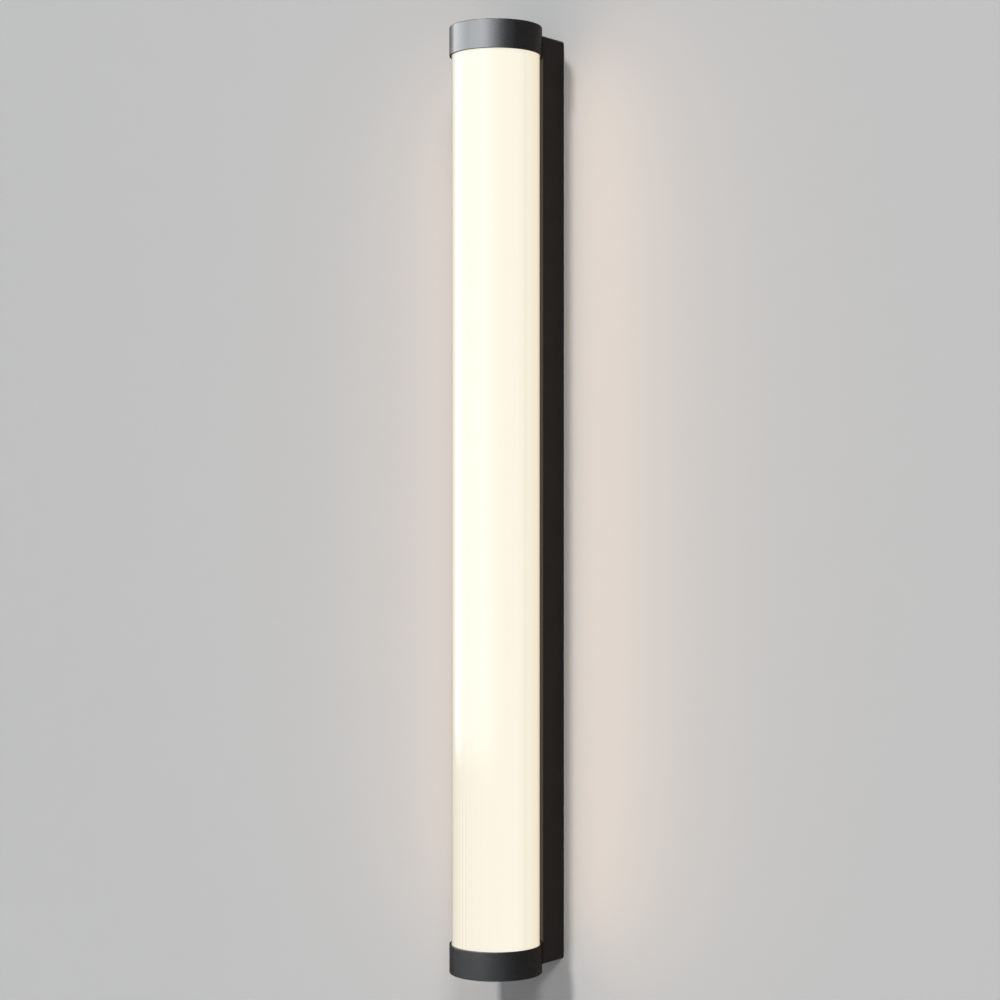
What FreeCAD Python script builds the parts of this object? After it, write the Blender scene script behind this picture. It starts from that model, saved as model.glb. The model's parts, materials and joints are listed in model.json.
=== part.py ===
import FreeCAD, Part
import math
import os

from collections import namedtuple
from FreeCAD import Vector

# Tube wall light. +X runs right along the wall, +Y into the wall, +Z up. The origin lies on the wall,
# in the middle of the light's width and height. All sizes are in millimetres.

# Overall
LIGHT_HEIGHT = 600.0

# Diffuser tube
DIFFUSER_DIAMETER = 56.0
DIFFUSER_WALL = 2.0

# End caps of the tube
CAP_HEIGHT = 18.2
CAP_END_THICKNESS = 4.0
CAP_SKIRT_WALL = 1.3
CAP_SKIRT_CLEARANCE = 0.2
CAP_SEAL_THICKNESS = 1.5

# Housing extrusion behind the tube
HOUSING_WIDTH = 45.0
HOUSING_SETBACK = 4.0
HOUSING_WALL = 2.0
CRADLE_WALL = 1.8
CRADLE_CLEARANCE = 0.3
NOSE_LAND = 0.7
RAIL_WIDTH = 1.6
RAIL_OFFSET = 10.0
RAIL_LIFT = 0.1
PORT_WALL = 1.4
PORT_SINK = 0.6

# End plates of the housing
END_PLATE_THICKNESS = 3.0
END_PLATE_CORNER = 2.0

# Gasket between housing and wall
GASKET_THICKNESS = 1.0
GASKET_WIDTH = 2.0

# Wall bracket
BRACKET_THICKNESS = 1.5
BRACKET_CLEARANCE = 0.4
BRACKET_FLANGE_HEIGHT = 7.0
BRACKET_BEND_RADIUS = 0.6
TAB_WIDTH = 24.0
TAB_REACH = 11.0
TAB_CORNER = 2.0
NOTCH_FORWARD = 0.7
FIXING_INSET = 52.6
FIXING_SLOT_WIDTH = 5.5
FIXING_SLOT_LENGTH = 12.0
WINDOW_WIDTH = 22.0
WINDOW_LENGTH = 46.0
WINDOW_CORNER = 4.0
WINDOW_PITCH = 62.0
WINDOWS = 5
WINDOW_FROM_ENTRY = 15.0

# Supply cable entry
GROMMET_BORE = 9.0
GROMMET_WALL = 2.5
GROMMET_FLANGE = 2.5
GROMMET_FLANGE_THICKNESS = 2.0
GROMMET_FIT = 0.1

# Driver
DRIVER_LENGTH = 165.0
DRIVER_WIDTH = 34.0
DRIVER_THICKNESS = 9.8
DRIVER_EDGE = 1.2
DRIVER_LUG_LENGTH = 10.0
DRIVER_LUG_WIDTH = 13.0
DRIVER_LUG_THICKNESS = 2.0
DRIVER_LUG_CORNER = 3.0
DRIVER_TO_BRACKET = 0.5
DRIVER_TO_FEED = 22.0

# Terminal block for the supply
TERMINAL_POLES = 3
TERMINAL_POLE_PITCH = 8.0
TERMINAL_LENGTH = 20.0
TERMINAL_THICKNESS = 9.4
TERMINAL_EDGE = 0.8
TERMINAL_FLOOR = 2.0
TERMINAL_ENTRY_DEPTH = 6.0
TERMINAL_SLOT_WIDTH = 2.4
TERMINAL_SLOT_DEPTH = 2.0
TERMINAL_SLOT_INSET = 3.6
TERMINAL_TO_DRIVER = 38.0
GROMMET_TO_TERMINAL = 30.0

# Leads
MAINS_LEAD_DIAMETER = 2.2
MAINS_LEAD_HEIGHT = 2.2
LED_LEAD_WIDTH = 3.0
LED_LEAD_THICKNESS = 1.6
LED_LEAD_HEIGHT = 7.0
LEAD_CLEARANCE = 0.2
LEAD_BEND = 5.0
BUSH_WALL = 2.2
BUSH_FLANGE = 1.6
BUSH_FLANGE_THICKNESS = 1.0
BUSH_FIT = 0.1

# Earth tag
EARTH_TAG_THICKNESS = 0.8
EARTH_TAG_DIAMETER = 8.4
EARTH_NECK_LENGTH = 1.2
EARTH_BARREL_LENGTH = 6.0
EARTH_FROM_DRIVER = 14.0

# Saddle pads that the tube is pulled against
SADDLE_INSET = 96.0
SADDLE_LENGTH = 26.0
SADDLE_HALF_ANGLE = 24.0
SADDLE_CLEARANCE = 0.1

# LED carrier extrusion inside the tube
CARRIER_CLEARANCE = 0.3
LED_FACE_OFFSET = 6.0
CARRIER_PLATE = 2.2
CARRIER_WEB = 2.0
CARRIER_SPINE_WIDTH = 18.0
CARRIER_BACK = 3.0
CARRIER_FIN = 1.2
CARRIER_FIN_HEIGHTS = (6.0, 3.4)
CARRIER_FIN_PITCH = 3.4
CARRIER_FIN_START = 17.0

# LED boards
BOARDS = 3
BOARD_WIDTH = 20.0
BOARD_THICKNESS = 1.6
BOARD_GAP = 12.0
BOARD_END_MARGIN = 4.0
GROOVE_WALL = 1.2
GROOVE_LIP = 1.0
GROOVE_CLEARANCE = 0.1
LED_WIDTH = 3.5
LED_LENGTH = 2.8
LED_THICKNESS = 0.8
LED_PITCH = 16.0
CONNECTOR_WIDTH = 8.0
CONNECTOR_LENGTH = 10.0
CONNECTOR_THICKNESS = 4.6
CONNECTOR_TO_LED = 1.0
LINK_WIDTH = 4.0
LINK_THICKNESS = 3.2
LINK_OVERLAP = 5.0
LINK_OFFSET = -6.5

# Screws: diameter of the thread, width and height of the head, length under the head
Screw = namedtuple("Screw", "thread head head_height length")
M3_HEXAGON = Screw(thread=3.0, head=5.5, head_height=2.0, length=5.0)
M3_FLUSH = Screw(thread=3.0, head=5.8, head_height=1.6, length=10.4)
M4_HEXAGON = Screw(thread=4.0, head=7.0, head_height=2.8, length=11.6)
M4_EARTH = Screw(thread=4.0, head=7.0, head_height=2.8, length=4.2)
M4_LOCKING = Screw(thread=4.0, head=7.2, head_height=2.2, length=7.4)
TAPPED_FIT = 0.1
HOLE_FIT = 0.25

# How far a cutting shape reaches past the faces that it cuts
PAST = 1.0

# How near to a face the middle of an edge of that face lies
NEAR = 0.1

# Worked out from the sizes above
CAP_RADIUS = DIFFUSER_DIAMETER / 2 + CAP_SKIRT_CLEARANCE + CAP_SKIRT_WALL
DIFFUSER_RADIUS = DIFFUSER_DIAMETER / 2
BORE_RADIUS = DIFFUSER_RADIUS - DIFFUSER_WALL
CRADLE_RADIUS = CAP_RADIUS + CRADLE_CLEARANCE
CAVITY_RADIUS = CRADLE_RADIUS + CRADLE_WALL
BRACKET_FRONT = -BRACKET_THICKNESS
SEAT = BRACKET_FRONT - DRIVER_TO_BRACKET - DRIVER_THICKNESS
AXIS = SEAT - RAIL_LIFT - CAVITY_RADIUS
HALF = LIGHT_HEIGHT / 2
CAP_FLOOR = HALF - CAP_END_THICKNESS
DIFFUSER_END = CAP_FLOOR - CAP_SEAL_THICKNESS
HOUSING_HALF = HALF - HOUSING_SETBACK
EXTRUSION_HALF = HOUSING_HALF - END_PLATE_THICKNESS
BRACKET_HALF = EXTRUSION_HALF - BRACKET_CLEARANCE
SIDE = HOUSING_WIDTH / 2
SIDE_INNER = SIDE - HOUSING_WALL
HOUSING_REAR = -GASKET_THICKNESS
TAB_NOTCH_Y = (BRACKET_FRONT - TAB_REACH) / 2 - NOTCH_FORWARD
FIXING_Z = BRACKET_HALF - FIXING_INSET
SADDLE_Z = HOUSING_HALF - SADDLE_INSET
LED_FACE = AXIS + LED_FACE_OFFSET
PLATE_BACK = LED_FACE + CARRIER_PLATE
CARRIER_RADIUS = BORE_RADIUS - CARRIER_CLEARANCE
CARRIER_END = AXIS + math.sqrt(CARRIER_RADIUS ** 2 - (CARRIER_SPINE_WIDTH / 2) ** 2)
BOARD_LENGTH = (2 * (CAP_FLOOR - BOARD_END_MARGIN) - (BOARDS - 1) * BOARD_GAP) / BOARDS
BOARD_FRONT = LED_FACE - BOARD_THICKNESS
FEED_Z = (BOARD_LENGTH + BOARD_GAP) / 2
LED_END_INSET = CONNECTOR_LENGTH + CONNECTOR_TO_LED + LED_LENGTH / 2
DRIVER_TOP = FEED_Z - DRIVER_TO_FEED
DRIVER_BOTTOM = DRIVER_TOP - DRIVER_LENGTH
TERMINAL_TOP = DRIVER_BOTTOM - TERMINAL_TO_DRIVER
TERMINAL_BOTTOM = TERMINAL_TOP - TERMINAL_LENGTH
GROMMET_Z = TERMINAL_BOTTOM - GROMMET_TO_TERMINAL
EARTH_Z = DRIVER_BOTTOM - EARTH_FROM_DRIVER
EARTH_BARREL_TOP = EARTH_Z - EARTH_TAG_DIAMETER / 2 - EARTH_NECK_LENGTH
MAINS_AXIS = SEAT + MAINS_LEAD_HEIGHT
OUTPUT_AXIS = SEAT + LED_LEAD_HEIGHT
BUSH_BORE = math.hypot(LED_LEAD_WIDTH, LED_LEAD_THICKNESS) / 2 + LEAD_CLEARANCE
BUSH_RADIUS = BUSH_BORE + BUSH_WALL
POLE_OFFSETS = [(i - (TERMINAL_POLES - 1) / 2) * TERMINAL_POLE_PITCH for i in range(TERMINAL_POLES)]
TERMINAL_SCREW_X = TERMINAL_POLE_PITCH / 2
HOUSING_PORT_RADIUS = M3_FLUSH.thread / 2 + TAPPED_FIT + PORT_WALL
HOUSING_PORT_X = SIDE_INNER - HOUSING_PORT_RADIUS + PORT_SINK
HOUSING_PORT_REACH = CAVITY_RADIUS + HOUSING_PORT_RADIUS - PORT_SINK
HOUSING_PORT_Y = AXIS + math.sqrt(HOUSING_PORT_REACH ** 2 - HOUSING_PORT_X ** 2)
CARRIER_PORT_X = CARRIER_SPINE_WIDTH / 2 + HOUSING_PORT_RADIUS - PORT_SINK
CARRIER_PORT_Y = PLATE_BACK + HOUSING_PORT_RADIUS - PORT_SINK


def arc_y(radius, x):
    """Y of the wall side of a circle round the tube's axis, at x."""
    return AXIS + math.sqrt(radius ** 2 - x ** 2)


def box(x, y, z):
    """A block from three (low, high) pairs."""
    return Part.makeBox(x[1] - x[0], y[1] - y[0], z[1] - z[0], Vector(x[0], y[0], z[0]))


def rod(radius, start, end):
    """A round bar between two points."""
    run = Vector(*end) - Vector(*start)
    return Part.makeCylinder(radius, run.Length, Vector(*start), run)


def fused(shapes):
    """One shape from several that overlap or touch."""
    first, rest = shapes[0], shapes[1:]
    return first.multiFuse(rest).removeSplitter() if rest else first


def extruded(face, low, high):
    """A section drawn at Z = 0, pulled from Z = low to Z = high."""
    solid = face.extrude(Vector(0, 0, high - low))
    solid.translate(Vector(0, 0, low))
    return solid


def mirrored(shape, normal):
    """The shape's twin on the other side of the plane through the origin."""
    return shape.mirror(Vector(0, 0, 0), normal)


def tube(outer, inner, low, high):
    """A ring round the tube's axis between two radii and two heights."""
    ring = rod(outer, (0, AXIS, low), (0, AXIS, high))
    return ring.cut(rod(inner, (0, AXIS, low - PAST), (0, AXIS, high + PAST)))


def cut_corners(shape, size, direction, test=lambda middle: True):
    """The shape with a flat across each edge along a direction whose middle passes a test."""
    return shape.makeChamfer(size, edges_along(shape, direction, test))


def edges_along(shape, direction, test):
    """Straight edges along a direction whose middle passes a test."""
    found = []
    for edge in shape.Edges:
        if edge.Curve.TypeId != "Part::GeomLine":
            continue
        parallel = abs(abs(edge.Curve.Direction.dot(direction)) - 1) < 1e-6
        if parallel and test(edge.CenterOfMass):
            found.append(edge)
    return found


def hexagon_reach(width):
    """Distance from the middle of a hexagon to its corners, for a width across flats."""
    return width / math.sqrt(3)


def hexagon_head(size):
    """A hexagonal screw head that stands on Z = 0."""
    reach = hexagon_reach(size.head)
    angles = [math.radians(60 * i) for i in range(7)]
    corners = [Vector(reach * math.cos(angle), reach * math.sin(angle), 0) for angle in angles]
    return Part.Face(Part.makePolygon(corners)).extrude(Vector(0, 0, size.head_height))


def screw(size, head, seat, out):
    """A screw with a given head, whose seat lies at a point and whose head looks along out."""
    shape = fused([head, Part.makeCylinder(size.thread / 2, size.length, Vector(0, 0, -size.length))])
    shape.Placement = FreeCAD.Placement(Vector(*seat), FreeCAD.Rotation(Vector(0, 0, 1), Vector(*out)))
    return shape


def hexagon_screw(size, seat, out):
    """A screw with a hexagonal head on its seat."""
    return screw(size, hexagon_head(size), seat, out)


def round_screw(size, seat, out):
    """A screw with a low round head on its seat."""
    return screw(size, Part.makeCylinder(size.head / 2, size.head_height), seat, out)


def flush_screw(x, y, face):
    """A screw along Z whose head lies flush with a face that looks up."""
    return round_screw(M3_FLUSH, (x, y, face - M3_FLUSH.head_height), (0, 0, 1))


def flush_hole(x, y, face, thickness):
    """The clearance hole and counterbore for a flush screw, through a wall under a face."""
    drill = rod(M3_FLUSH.thread / 2 + HOLE_FIT, (x, y, face - thickness - PAST), (x, y, face + PAST))
    bore = rod(M3_FLUSH.head / 2 + HOLE_FIT, (x, y, face - M3_FLUSH.head_height), (x, y, face + PAST))
    return fused([drill, bore])


def wall_bracket():
    """Pressed steel channel on the wall, with a bent and notched tab at each end."""
    half = SIDE_INNER - BRACKET_CLEARANCE
    deep = BRACKET_THICKNESS
    inner = BRACKET_BEND_RADIUS
    outer = inner + deep
    reach = -BRACKET_FLANGE_HEIGHT
    knee = math.sqrt(0.5)
    right = [
        Part.makeLine(Vector(half, reach, 0), Vector(half, -outer, 0)),
        Part.Arc(
            Vector(half, -outer, 0),
            Vector(half - outer + outer * knee, -outer + outer * knee, 0),
            Vector(half - outer, 0, 0),
        ).toShape(),
        Part.makeLine(Vector(half - deep, reach, 0), Vector(half, reach, 0)),
        Part.Arc(
            Vector(half - outer, -deep, 0),
            Vector(half - outer + inner * knee, -outer + inner * knee, 0),
            Vector(half - deep, -outer, 0),
        ).toShape(),
        Part.makeLine(Vector(half - deep, -outer, 0), Vector(half - deep, reach, 0)),
    ]
    left = [mirrored(edge, Vector(1, 0, 0)) for edge in right]
    across = [
        Part.makeLine(Vector(outer - half, 0, 0), Vector(half - outer, 0, 0)),
        Part.makeLine(Vector(outer - half, -deep, 0), Vector(half - outer, -deep, 0)),
    ]
    section = Part.Face(Part.Wire(Part.__sortEdges__(right + left + across)))
    flange_end = BRACKET_HALF - outer - TAB_CORNER
    channel = extruded(section, -flange_end, flange_end)
    floor = box((outer - half, half - outer), (-deep, 0), (-BRACKET_HALF + outer, BRACKET_HALF - outer))
    bracket = fused([channel, floor, end_tab(), mirrored(end_tab(), Vector(0, 0, 1))])
    for z in (-FIXING_Z, FIXING_Z):
        bracket = bracket.cut(wall_slot(z))
    for index in range(WINDOWS):
        bracket = bracket.cut(bracket_window(index))
    entry = GROMMET_BORE / 2 + GROMMET_WALL + GROMMET_FIT
    return bracket.cut(rod(entry, (0, -2 * deep, GROMMET_Z), (0, deep, GROMMET_Z)))


def end_tab():
    """The bracket's upper tab: bent forward, with a notch that is open to the front."""
    deep = BRACKET_THICKNESS
    outer = BRACKET_BEND_RADIUS + deep
    width = (-TAB_WIDTH / 2, TAB_WIDTH / 2)
    upright = box(width, (-TAB_REACH, -outer), (BRACKET_HALF - deep, BRACKET_HALF))
    upright = cut_corners(upright, TAB_CORNER, Vector(0, 0, 1), lambda middle: middle.y < NEAR - TAB_REACH)
    centre = Vector(width[0], -outer, BRACKET_HALF - outer)
    bend = Part.makeCylinder(outer, TAB_WIDTH, centre, Vector(1, 0, 0))
    bend = bend.cut(Part.makeCylinder(BRACKET_BEND_RADIUS, TAB_WIDTH, centre, Vector(1, 0, 0)))
    quarter = box(width, (-outer, 0), (BRACKET_HALF - outer, BRACKET_HALF))
    root = box(width, (-deep, 0), (BRACKET_HALF - 2 * outer, BRACKET_HALF - outer))
    notch = M4_LOCKING.thread / 2 + BRACKET_CLEARANCE
    low, high = BRACKET_HALF - deep - PAST, BRACKET_HALF + PAST
    seat = rod(notch, (0, TAB_NOTCH_Y, low), (0, TAB_NOTCH_Y, high))
    mouth = box((-notch, notch), (-TAB_REACH - PAST, TAB_NOTCH_Y), (low, high))
    return fused([upright, bend.common(quarter), root]).cut(seat).cut(mouth)


def wall_slot(z):
    """An upright slot for a wall screw."""
    radius = FIXING_SLOT_WIDTH / 2
    half_run = (FIXING_SLOT_LENGTH - FIXING_SLOT_WIDTH) / 2
    deep = 2 * BRACKET_THICKNESS
    ends = [rod(radius, (0, -deep, z + end), (0, deep, z + end)) for end in (-half_run, half_run)]
    return fused(ends + [box((-radius, radius), (-deep, deep), (z - half_run, z + half_run))])


def bracket_window(index):
    """One of the bracket's lightening windows, counted upwards from the cable entry."""
    low = GROMMET_Z + WINDOW_FROM_ENTRY + index * WINDOW_PITCH
    window = box(
        (-WINDOW_WIDTH / 2, WINDOW_WIDTH / 2),
        (-2 * BRACKET_THICKNESS, BRACKET_THICKNESS),
        (low, low + WINDOW_LENGTH),
    )
    return cut_corners(window, WINDOW_CORNER, Vector(0, 1, 0))


def cable_grommet():
    """Rubber grommet in the bracket's cable entry, with its flange on the front."""
    bore = GROMMET_BORE / 2
    collar = bore + GROMMET_WALL
    front = BRACKET_FRONT - GROMMET_FLANGE_THICKNESS
    body = rod(collar, (0, front, GROMMET_Z), (0, 0, GROMMET_Z))
    flange = rod(collar + GROMMET_FLANGE, (0, front, GROMMET_Z), (0, BRACKET_FRONT, GROMMET_Z))
    hole = rod(bore, (0, front - PAST, GROMMET_Z), (0, PAST, GROMMET_Z))
    return fused([body, flange]).cut(hole)


def cradle_outline(inner):
    """Half-open section of the housing: square behind, hollowed by the tube in front."""
    nose_x = SIDE - NOSE_LAND
    nose_y = arc_y(CRADLE_RADIUS, nose_x)
    rear = HOUSING_REAR
    front_arc = Part.Arc(
        Vector(nose_x, nose_y, 0), Vector(0, arc_y(CRADLE_RADIUS, 0), 0), Vector(-nose_x, nose_y, 0)
    ).toShape()
    outside = [
        Part.makeLine(Vector(SIDE, rear, 0), Vector(SIDE, nose_y, 0)),
        Part.makeLine(Vector(SIDE, nose_y, 0), Vector(nose_x, nose_y, 0)),
        front_arc,
        Part.makeLine(Vector(-nose_x, nose_y, 0), Vector(-SIDE, nose_y, 0)),
        Part.makeLine(Vector(-SIDE, nose_y, 0), Vector(-SIDE, rear, 0)),
    ]
    if not inner:
        return Part.Face(Part.Wire(outside + [Part.makeLine(Vector(-SIDE, rear, 0), Vector(SIDE, rear, 0))]))
    knee_y = arc_y(CAVITY_RADIUS, SIDE_INNER)
    crown = Vector(0, arc_y(CAVITY_RADIUS, 0), 0)
    inside = [
        Part.makeLine(Vector(-SIDE, rear, 0), Vector(-SIDE_INNER, rear, 0)),
        Part.makeLine(Vector(-SIDE_INNER, rear, 0), Vector(-SIDE_INNER, knee_y, 0)),
        Part.Arc(Vector(-SIDE_INNER, knee_y, 0), crown, Vector(SIDE_INNER, knee_y, 0)).toShape(),
        Part.makeLine(Vector(SIDE_INNER, knee_y, 0), Vector(SIDE_INNER, rear, 0)),
        Part.makeLine(Vector(SIDE_INNER, rear, 0), Vector(SIDE, rear, 0)),
    ]
    return Part.Face(Part.Wire(outside + inside))


def housing():
    """Extruded housing: open to the wall, with screw ports, gear rails and a cradle for the tube."""
    half = EXTRUSION_HALF
    parts = [extruded(cradle_outline(True), -half, half)]
    for side in (-1, 1):
        port = (side * HOUSING_PORT_X, HOUSING_PORT_Y)
        parts.append(rod(HOUSING_PORT_RADIUS, (*port, -half), (*port, half)))
        rail = (side * RAIL_OFFSET - RAIL_WIDTH / 2, side * RAIL_OFFSET + RAIL_WIDTH / 2)
        web = arc_y(CAVITY_RADIUS, RAIL_OFFSET + RAIL_WIDTH / 2) - CRADLE_WALL / 2
        parts.append(box(rail, (web, SEAT), (-half, half)))
    body = fused(parts)
    tapped = M3_FLUSH.thread / 2 + TAPPED_FIT
    for side in (-1, 1):
        port = (side * HOUSING_PORT_X, HOUSING_PORT_Y)
        body = body.cut(rod(tapped, (*port, -half - PAST), (*port, half + PAST)))
    for radius, x, z in web_holes():
        body = body.cut(rod(radius, (x, AXIS, z), (x, SEAT + CRADLE_WALL, z)))
    return body


def web_holes():
    """Radius, X and Z of every hole through the housing's cradle wall."""
    tapped = M3_HEXAGON.thread / 2 + TAPPED_FIT
    holes = [(M4_HEXAGON.thread / 2 + HOLE_FIT, 0, z) for z in (-SADDLE_Z, SADDLE_Z)]
    holes += [(tapped, 0, z) for z in driver_screw_heights()]
    holes.append((tapped, TERMINAL_SCREW_X, terminal_middle()))
    holes.append((M4_EARTH.thread / 2 + TAPPED_FIT, 0, EARTH_Z))
    holes.append((BUSH_RADIUS + BUSH_FIT, 0, FEED_Z))
    return holes


def end_plate():
    """Upper end plate of the housing, with its sunk screw holes and the tapped locking hole."""
    low, high = EXTRUSION_HALF, HOUSING_HALF
    plate = extruded(cradle_outline(False), low, high)
    rounded = edges_along(
        plate, Vector(0, 1, 0), lambda middle: abs(middle.x) > SIDE - NEAR and middle.z > high - NEAR
    )
    plate = plate.makeFillet(END_PLATE_CORNER, rounded)
    for side in (-1, 1):
        plate = plate.cut(flush_hole(side * HOUSING_PORT_X, HOUSING_PORT_Y, high, END_PLATE_THICKNESS))
    tapped = M4_LOCKING.thread / 2 + TAPPED_FIT
    return plate.cut(rod(tapped, (0, TAB_NOTCH_Y, low - PAST), (0, TAB_NOTCH_Y, high + PAST)))


def end_plate_screws():
    """The four flush screws that hold the end plates on the extrusion."""
    upper = [flush_screw(side * HOUSING_PORT_X, HOUSING_PORT_Y, HOUSING_HALF) for side in (-1, 1)]
    return Part.Compound(upper + [mirrored(piece, Vector(0, 0, 1)) for piece in upper])


def locking_screws():
    """A screw at each end, through the end plate into the bracket's notch."""
    upper = round_screw(M4_LOCKING, (0, TAB_NOTCH_Y, HOUSING_HALF), (0, 0, 1))
    return Part.Compound([upper, mirrored(upper, Vector(0, 0, 1))])


def wall_gasket():
    """Foam ring between the housing's rear edge and the wall."""
    outer = box((-SIDE, SIDE), (HOUSING_REAR, 0), (-HOUSING_HALF, HOUSING_HALF))
    outer = outer.makeFillet(END_PLATE_CORNER, edges_along(outer, Vector(0, 1, 0), lambda middle: True))
    inset = GASKET_WIDTH
    hollow = box(
        (inset - SIDE, SIDE - inset),
        (HOUSING_REAR - PAST, PAST),
        (inset - HOUSING_HALF, HOUSING_HALF - inset),
    )
    return outer.cut(hollow)


def saddle_pads():
    """Two curved pads between the housing's cradle and the diffuser."""
    outer = CRADLE_RADIUS - SADDLE_CLEARANCE
    inner = DIFFUSER_RADIUS + SADDLE_CLEARANCE
    pads = []
    for z in (-SADDLE_Z, SADDLE_Z):
        low = z - SADDLE_LENGTH / 2
        ring = Part.makeCylinder(outer, SADDLE_LENGTH, Vector(0, AXIS, low), Vector(0, 0, 1))
        ring = ring.cut(Part.makeCylinder(inner, SADDLE_LENGTH, Vector(0, AXIS, low), Vector(0, 0, 1)))
        reach = 2 * outer
        spread = reach * math.tan(math.radians(SADDLE_HALF_ANGLE))
        tip = Vector(0, AXIS, low)
        far = [Vector(side * spread, AXIS + reach, low) for side in (1, -1)]
        wedge = Part.Face(Part.makePolygon([tip, *far, tip])).extrude(Vector(0, 0, SADDLE_LENGTH))
        hole = rod(M4_HEXAGON.thread / 2 + HOLE_FIT, (0, AXIS, z), (0, 0, z))
        pads.append(ring.common(wedge).cut(hole))
    return Part.Compound(pads)


def carrier_screws():
    """Two screws from the housing through pad and diffuser into the carrier."""
    screws = [hexagon_screw(M4_HEXAGON, (0, SEAT, z), (0, 1, 0)) for z in (-SADDLE_Z, SADDLE_Z)]
    return Part.Compound(screws)


def diffuser():
    """Opal tube with its holes for the carrier screws and the lead bush."""
    length = 2 * DIFFUSER_END
    start = Vector(0, AXIS, -DIFFUSER_END)
    tube = Part.makeCylinder(DIFFUSER_RADIUS, length, start, Vector(0, 0, 1))
    tube = tube.cut(Part.makeCylinder(BORE_RADIUS, length, start, Vector(0, 0, 1)))
    for z in (-SADDLE_Z, SADDLE_Z):
        tube = tube.cut(rod(M4_HEXAGON.thread / 2 + HOLE_FIT, (0, AXIS, z), (0, 0, z)))
    return tube.cut(rod(BUSH_RADIUS + BUSH_FIT, (0, AXIS, FEED_Z), (0, 0, FEED_Z)))


def end_cap():
    """Upper cap of the tube: a thick end with a skirt over the diffuser."""
    rim = HALF - CAP_HEIGHT
    cap = tube(CAP_RADIUS, CAP_RADIUS - CAP_SKIRT_WALL, rim, CAP_FLOOR)
    cap = fused([cap, rod(CAP_RADIUS, (0, AXIS, CAP_FLOOR), (0, AXIS, HALF))])
    for side in (-1, 1):
        cap = cap.cut(flush_hole(side * CARRIER_PORT_X, CARRIER_PORT_Y, HALF, CAP_END_THICKNESS))
    return cap


def cap_seals():
    """A silicone ring at each end, between the diffuser and the cap."""
    upper = tube(DIFFUSER_RADIUS, BORE_RADIUS, DIFFUSER_END, CAP_FLOOR)
    return Part.Compound([upper, mirrored(upper, Vector(0, 0, 1))])


def cap_screws():
    """The four flush screws that pull the caps onto the carrier's ends."""
    upper = [flush_screw(side * CARRIER_PORT_X, CARRIER_PORT_Y, HALF) for side in (-1, 1)]
    return Part.Compound(upper + [mirrored(piece, Vector(0, 0, 1)) for piece in upper])


def carrier_section():
    """Section of the LED carrier: plate with grooves for the boards, fins, screw ports and a closed spine."""
    half_spine = CARRIER_SPINE_WIDTH / 2
    plate_half = math.sqrt(CARRIER_RADIUS ** 2 - (PLATE_BACK - AXIS) ** 2)
    pieces = [
        ((-plate_half, plate_half), (LED_FACE, PLATE_BACK)),
        ((-half_spine, half_spine), (CARRIER_END - CARRIER_BACK, CARRIER_END)),
    ]
    for side in (-1, 1):
        web = sorted((side * half_spine, side * (half_spine - CARRIER_WEB)))
        pieces.append((web, (PLATE_BACK - CARRIER_PLATE / 2, CARRIER_END)))
        for index, height in enumerate(CARRIER_FIN_HEIGHTS):
            root = side * (CARRIER_FIN_START + index * CARRIER_FIN_PITCH)
            fin = (root - CARRIER_FIN / 2, root + CARRIER_FIN / 2)
            pieces.append((fin, (PLATE_BACK - CARRIER_PLATE / 2, PLATE_BACK + height)))
        inner = BOARD_WIDTH / 2 + GROOVE_CLEARANCE
        under = BOARD_FRONT - GROOVE_CLEARANCE
        wall = sorted((side * inner, side * (inner + GROOVE_WALL)))
        lip = sorted((side * (inner - GROOVE_LIP), side * (inner + GROOVE_WALL)))
        pieces.append((wall, (under - GROOVE_WALL, LED_FACE + CARRIER_PLATE / 2)))
        pieces.append((lip, (under - GROOVE_WALL, under)))
    faces = [Part.makePlane(x[1] - x[0], y[1] - y[0], Vector(x[0], y[0], 0)) for x, y in pieces]
    for side in (-1, 1):
        centre = Vector(side * CARRIER_PORT_X, CARRIER_PORT_Y, 0)
        faces.append(Part.Face(Part.Wire(Part.makeCircle(HOUSING_PORT_RADIUS, centre))))
    section = fused(faces)
    for side in (-1, 1):
        centre = Vector(side * CARRIER_PORT_X, CARRIER_PORT_Y, 0)
        tapped = M3_FLUSH.thread / 2 + TAPPED_FIT
        section = section.cut(Part.Face(Part.Wire(Part.makeCircle(tapped, centre))))
    return section


def led_carrier():
    """Aluminium extrusion that carries the boards and takes the cap and saddle screws."""
    body = extruded(carrier_section(), -CAP_FLOOR, CAP_FLOOR)
    for z in (-SADDLE_Z, SADDLE_Z):
        body = body.cut(rod(M4_HEXAGON.thread / 2 + TAPPED_FIT, (0, PLATE_BACK + PAST, z), (0, 0, z)))
    return body.cut(rod(BUSH_RADIUS, (0, LED_FACE - PAST, FEED_Z), (0, 0, FEED_Z)))


def board_middles():
    """Height of each board's middle, from the lowest up."""
    return [(i - (BOARDS - 1) / 2) * (BOARD_LENGTH + BOARD_GAP) for i in range(BOARDS)]


def led_board(index):
    """One LED board in the carrier's grooves, counted from the lowest."""
    low = board_middles()[index] - BOARD_LENGTH / 2
    return box((-BOARD_WIDTH / 2, BOARD_WIDTH / 2), (BOARD_FRONT, LED_FACE), (low, low + BOARD_LENGTH))


def led_chips():
    """A row of LED packages on every board."""
    count = int((BOARD_LENGTH - 2 * LED_END_INSET) // LED_PITCH) + 1
    chips = []
    for middle in board_middles():
        for index in range(count):
            z = middle + (index - (count - 1) / 2) * LED_PITCH
            chips.append(
                box(
                    (-LED_WIDTH / 2, LED_WIDTH / 2),
                    (BOARD_FRONT - LED_THICKNESS, BOARD_FRONT),
                    (z - LED_LENGTH / 2, z + LED_LENGTH / 2),
                )
            )
    return Part.Compound(chips)


def connector_axis():
    """Y of the lead's axis where it enters the board connector."""
    return BOARD_FRONT - CONNECTOR_THICKNESS / 2


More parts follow.
